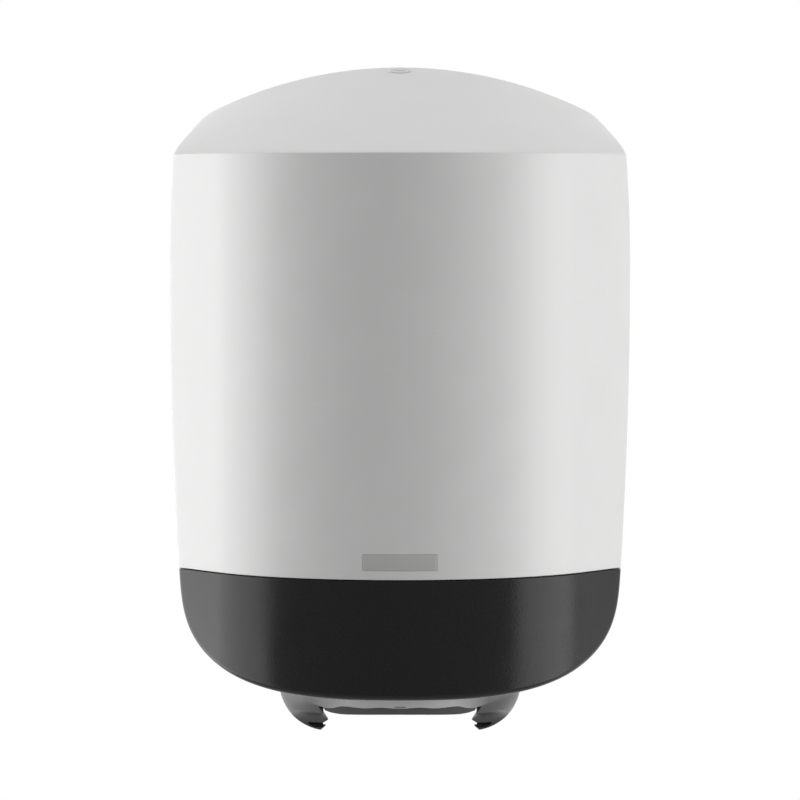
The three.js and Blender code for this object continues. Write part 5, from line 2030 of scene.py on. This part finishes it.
@dataclass
class WallPlate:
    """The plate on the wall: a panel with a flange and ribs, keyholes, the hinge's lugs and the catch."""

    thickness: float = FORM.plate_thickness
    inset: float = 9 * MM
    foot: float = 3 * MM
    foot_radius: float = 68 * MM
    shoulder_radius: float = 19 * MM
    flange_width: float = 2.4 * MM
    flange_depth: float = 9 * MM
    flange_start: float = 64 * MM
    rib_width: float = 2 * MM
    rib_depth: float = 7 * MM
    rib_spread: float = 46 * MM
    cross_ribs: tuple[float, ...] = (96 * MM, 180 * MM, 264 * MM)
    keyhole_spread: float = 80 * MM
    keyhole_levels: tuple[float, ...] = (118 * MM, 286 * MM)
    keyhole_radius: float = 5.2 * MM
    slot_radius: float = 2.7 * MM
    slot_rise: float = 10 * MM
    pad_radius: float = 11 * MM
    pad_rise: float = 2 * MM
    catch_inner: float = 4.2 * MM
    catch_outer: float = 14 * MM
    catch_thickness: float = 2.2 * MM
    catch_height: float = 11 * MM
    edge: float = 0.4 * MM

    def outline(self, inset: float) -> list[Flat]:
        """Its outline in x and level, from the middle of the foot up the right side and down the left one.

        Args:
            inset: Distance in from the plate's edge.

        Returns:
            The outline's points.
        """
        edge = self.inset + inset
        bend, foot = self.foot_radius - inset, self.foot + inset
        right = [(0, foot), *arc(FORM.side_half(FORM.seam_level) - edge - bend, foot + bend, bend, -90, 0, 28)]
        for level in spread(foot + bend, FORM.ridge_level - edge, 24)[1:]:
            right.append((FORM.side_half(level) - edge, level))
        radius, shoulder = FORM.arch_radius - edge, self.shoulder_radius - edge
        across_to = FORM.side_half(FORM.ridge_level - edge) - edge - shoulder
        middle = FORM.arch_top - FORM.arch_radius
        up = middle + math.sqrt((radius - shoulder) ** 2 - across_to**2)
        turn = math.degrees(math.atan2(up - middle, across_to))
        right += arc(across_to, up, shoulder, 0, turn, 8)
        right += arc(0, middle, radius, turn, 90, 30)[1:]
        return right + [(-x, level) for x, level in right[-2:0:-1]]

    def slab(self, name: str, outline: Sequence[Flat], back: float, depth: float,
             ease: float = 0.0) -> Solid:
        """An outline in x and level carried forwards from a distance off the wall, its edges eased."""
        piece = prism(name, outline, -back, -back - depth, backwards)
        return eased(piece, ease) if ease else piece

    def flange(self) -> Solid:
        """The flange round the panel, open below and at the lock.

        Returns:
            The flange.
        """
        depth = self.flange_depth
        piece = self.slab("flange", self.outline(0), self.thickness / 2, depth, self.edge)
        inner = self.slab("inner", self.outline(self.flange_width), 0, 2 * depth)
        half = FORM.widest_half
        below = block(-half, half, 0, -2 * depth, -FORM.overrun, self.flange_start)
        reach = self.catch_outer + KeyLock().bezel_radius
        lock_room = block(-reach, reach, 0, -2 * depth, FORM.ridge_level, FORM.arch_top)
        return worked(piece, [inner, below, lock_room], Work.CUT)

    def keyhole_places(self) -> list[Flat]:
        """Middles of the four keyholes."""
        return [(side * self.keyhole_spread, level) for level in self.keyhole_levels for side in (-1, 1)]

    def keyhole(self, x: float, level: float) -> Solid:
        """What is cut out for the head and the shank of a wall screw.

        Args:
            x: Its middle across.
            level: Its middle's height.

        Returns:
            The tool.
        """
        ring = slotted(x, level, self.keyhole_radius, self.slot_radius, self.slot_rise, 36)
        depth = self.thickness + self.pad_rise + 2 * FORM.overrun
        return self.slab("keyhole", ring, -FORM.overrun, depth)

    def pad(self, x: float, level: float) -> Solid:
        """The raised pad about a keyhole.

        Args:
            x: Its middle across.
            level: Its middle's height.

        Returns:
            The pad.
        """
        ring = [*arc(x, level, self.pad_radius, 180, 360, 28),
                *arc(x, level + self.slot_rise, self.pad_radius, 0, 180, 28)]
        return self.slab("pad", ring, self.thickness / 2, self.thickness / 2 + self.pad_rise, self.edge)

    def ribs(self) -> list[Solid]:
        """The upright and level ribs.

        Returns:
            The ribs.
        """
        back, front = -self.thickness / 2, -self.thickness - self.rib_depth
        half, base = self.rib_width / 2, BaseShell()
        low = FORM.hinge_level + 2 * base.lug_radius
        made = [block(side * self.rib_spread - half, side * self.rib_spread + half, back, front, low,
                      FORM.ridge_level + self.rib_spread / 2) for side in (-1, 1)]
        for level in self.cross_ribs:
            reach = FORM.side_half(level) - self.inset - self.flange_width / 2
            made.append(block(-reach, reach, back, front, level - half, level + half))
        return [eased(rib, self.edge) for rib in made]

    def lug(self, side: int) -> Solid:
        """A lug that carries a bush of the hinge.

        Args:
            side: 1 for the right-hand one, -1 for the left-hand one.

        Returns:
            The lug.
        """
        base, level = BaseShell(), FORM.hinge_level
        back, radius = -self.thickness / 2, base.lug_radius
        ring = [(back, level - radius), (back, level + 2 * radius), (-self.thickness, level + 2 * radius),
                *arc(-FORM.hinge_off, level, radius, 60, 270, 28)]
        middle, half = side * base.lug_spread, base.lug_width / 2
        return eased(prism("lug", ring, middle - half, middle + half, across), self.edge)

    def catch(self) -> list[Solid]:
        """The hook that the lock's cam turns behind.

        Returns:
            The hook's face and its arm.
        """
        lock = KeyLock()
        _, off, level = FORM.lock_point(lock.cam_drop)
        front = off - lock.cam_width / 2 - FORM.run_gap - self.catch_thickness
        top = level + FORM.run_gap
        bottom = top - self.catch_height
        face = block(self.catch_inner, self.catch_outer, front + self.catch_thickness, front, bottom, top)
        arm = block(self.catch_outer - self.catch_thickness, self.catch_outer, -self.thickness / 2, front,
                    bottom, top)
        return [eased(face, self.edge), eased(arm, self.edge)]

    def build(self) -> None:
        """Makes the plate."""
        piece = self.slab("back_plate", self.outline(0), 0, self.thickness, self.edge)
        adds = [self.flange(), *self.ribs(), *self.catch()]
        adds += [self.pad(x, level) for x, level in self.keyhole_places()]
        adds += [self.lug(side) for side in (-1, 1)]
        worked(piece, adds, Work.JOIN)
        cuts = [self.keyhole(x, level) for x, level in self.keyhole_places()]
        base = BaseShell()
        ring = circle(-FORM.hinge_off, FORM.hinge_level, Hinge().bush_radius + FORM.fit_gap, 36)
        for side in (-1, 1):
            middle = side * base.lug_spread
            cuts.append(prism("bush_hole", ring, middle - base.lug_width, middle + base.lug_width, across))
        worked(piece, cuts, Work.CUT)
        carried(piece, Carrier.ROOT, PLATE, "wall_plate")


def screw_sets() -> list[ScrewSet]:
    """The front's screws, set by set.

    Returns:
        One set for each kind of screw.
    """
    cover, nozzle, brake, gap, start = CoverShell(), OutletNozzle(), PaperBrake(), FORM.fit_gap, math.pi / 2
    return [
        ScrewSet("cover_screw", [place[:2] for place in SCREWS.cover()],
                 SCREWS.tab_level + cover.tab_thickness + gap),
        ScrewSet("shelf_screw", SCREWS.around(SCREWS.shelf_reach, 4, math.pi / 4),
                 RollShelf().screw_seat, seed=5),
        ScrewSet("nozzle_screw", SCREWS.around(SCREWS.nozzle_reach, 3, start),
                 nozzle.seat_level + nozzle.flange_thickness + 2 * gap,
                 length=5 * MM, head_radius=2.8 * MM, seed=3),
        ScrewSet("ring_screw", SCREWS.around(SCREWS.ring_reach, 3, start), brake.ring_top + gap,
                 length=5 * MM, radius=1 * MM, head_radius=2.4 * MM, seed=8),
    ]


@dataclass
class Studio:
    """A plain studio: a pale floor well below, two side softboxes, one above, and the photo's camera."""

    camera_level: float = 274.18 * MM
    camera_distance: float = 2.544
    pitch: float = math.radians(2.459)
    focal_pixels: float = 4643.5
    image_pixels: int = 800
    sensor: float = 36.0
    floor_drop: float = 2.4
    floor_half: float = 3.2
    ambient: float = 0.38
    front_glow: float = 0.5
    front_reach: Flat = (-0.4, -0.15)
    floor_glow: float = 0.45
    floor_white: float = 0.6
    floor_colour: Point = (0.8, 0.8, 0.8)

    def lamp(self, name: str, place: Point, size: Flat, power: float) -> None:
        """A soft rectangular lamp that faces the middle of the dispenser.

        Args:
            name: Name of the lamp.
            place: Where it stands.
            size: Its width and height.
            power: Its power in watts.
        """
        light = bpy.data.lights.new(name, "AREA")
        light.shape = "RECTANGLE"
        light.size, light.size_y = size
        light.energy = power
        lamp = stood(name, light)
        lamp.location = place
        lamp.rotation_euler = (Vector((0, -FORM.axis, 0)) - lamp.location).to_track_quat("-Z", "Y").to_euler()

    def around(self, angle: float, distance: float) -> Point:
        """A place round the dispenser's axis, at an angle in degrees from straight ahead."""
        turn = math.radians(angle)
        return distance * math.sin(turn), -FORM.axis - distance * math.cos(turn), 0.0

    def world(self) -> None:
        """A white background for what is seen or mirrored, and an even grey light on the object."""
        world = bpy.data.worlds.new("studio")
        bpy.context.scene.world = world
        world.use_nodes = True
        tree = Nodes(world.node_tree)
        world.node_tree.nodes.clear()
        path = tree.node("ShaderNodeLightPath").outputs
        seen = path["Is Camera Ray"]
        through = tree.maths("MAXIMUM", path["Is Glossy Ray"], path["Is Transmission Ray"])
        mix = tree.node("ShaderNodeMixShader")
        tree.feed(mix.inputs[0], tree.maths("MAXIMUM", seen, through))
        for socket, strength in zip(mix.inputs[1:], (self.ambient, self.glow(tree, seen))):
            light = tree.node("ShaderNodeBackground", Color=(1, 1, 1, 1), Strength=strength)
            tree.feed(socket, light.outputs[0])
        tree.node("ShaderNodeOutputWorld", Surface=mix.outputs[0])

    def glow(self, tree: Nodes, seen: Socket) -> Socket:
        """How bright the background is: white, but dim in a gloss that mirrors the room ahead.

        Args:
            tree: The world's nodes.
            seen: 1 for what the camera itself sees.

        Returns:
            The strength.
        """
        way = tree.node("ShaderNodeTexCoord").outputs["Generated"]
        split = tree.node("ShaderNodeSeparateXYZ", Vector=way)
        ahead = tree.ranged(split.outputs["Y"], self.front_glow, 1, *self.front_reach)
        return tree.maths("MAXIMUM", ahead, seen)

    def floor(self) -> None:
        """A pale floor under the dispenser, a little brighter where it is seen or mirrored."""
        half, level = self.floor_half, FORM.mount_level - self.floor_drop
        skin = Skin()
        skin.face((-half, -half, level), (half, -half, level), (half, half, level), (-half, half, level))
        floor = skin.piece("floor")
        finish = Finish("floor_paper", "stage", self.floor_colour, 0.8, grain_size=2 * MM, mottle=0.01)
        dressed(floor, finish)
        tree = Nodes(floor.data.materials[0].node_tree)
        path = tree.node("ShaderNodeLightPath").outputs
        shares = [tree.maths("MULTIPLY", path["Is Camera Ray"], self.floor_white),
                  tree.maths("MULTIPLY", path["Is Glossy Ray"], self.floor_glow)]
        inputs = tree.tree.nodes["Principled BSDF"].inputs
        tree.feed(inputs["Emission Color"], (1, 1, 1, 1))
        tree.feed(inputs["Emission Strength"], tree.maths("ADD", *shares))

    def camera(self) -> None:
        """The camera, where the photograph was taken from."""
        data = bpy.data.cameras.new("camera")
        data.sensor_width = self.sensor
        data.lens = self.sensor * self.focal_pixels / self.image_pixels
        camera = stood("camera", data)
        camera.location = (0, -(FORM.depth + self.camera_distance), self.camera_level - FORM.mount_level)
        camera.rotation_euler = (math.pi / 2 - self.pitch, 0, 0)
        bpy.context.scene.camera = camera

    def build(self) -> None:
        """Sets up the camera, the light and the floor."""
        bpy.context.scene.view_settings.view_transform = "Standard"
        self.camera()
        self.world()
        self.floor()
        self.lamp("left_softbox", self.around(angle=-102.5, distance=1.25), size=(1.5, 1.5), power=14.6)
        self.lamp("right_softbox", self.around(angle=81, distance=1.25), size=(0.86, 1.5), power=9.7)
        self.lamp("top_softbox", place=(0, -FORM.axis, 1.5), size=(1.2, 0.9), power=3.7)


def main() -> None:
    """Builds the dispenser piece by piece, then the studio about it."""
    logging.basicConfig(level=logging.INFO, format="%(name)s: %(message)s")
    for part in (CoverShell(), BaseShell(), BadgePlate(), OutletNozzle(), PaperBrake(), RollShelf(), Hinge(),
                 KeyLock(), WallPlate(), *screw_sets()):
        part.build()
    Studio().build()


if __name__ == "__main__":
    main()
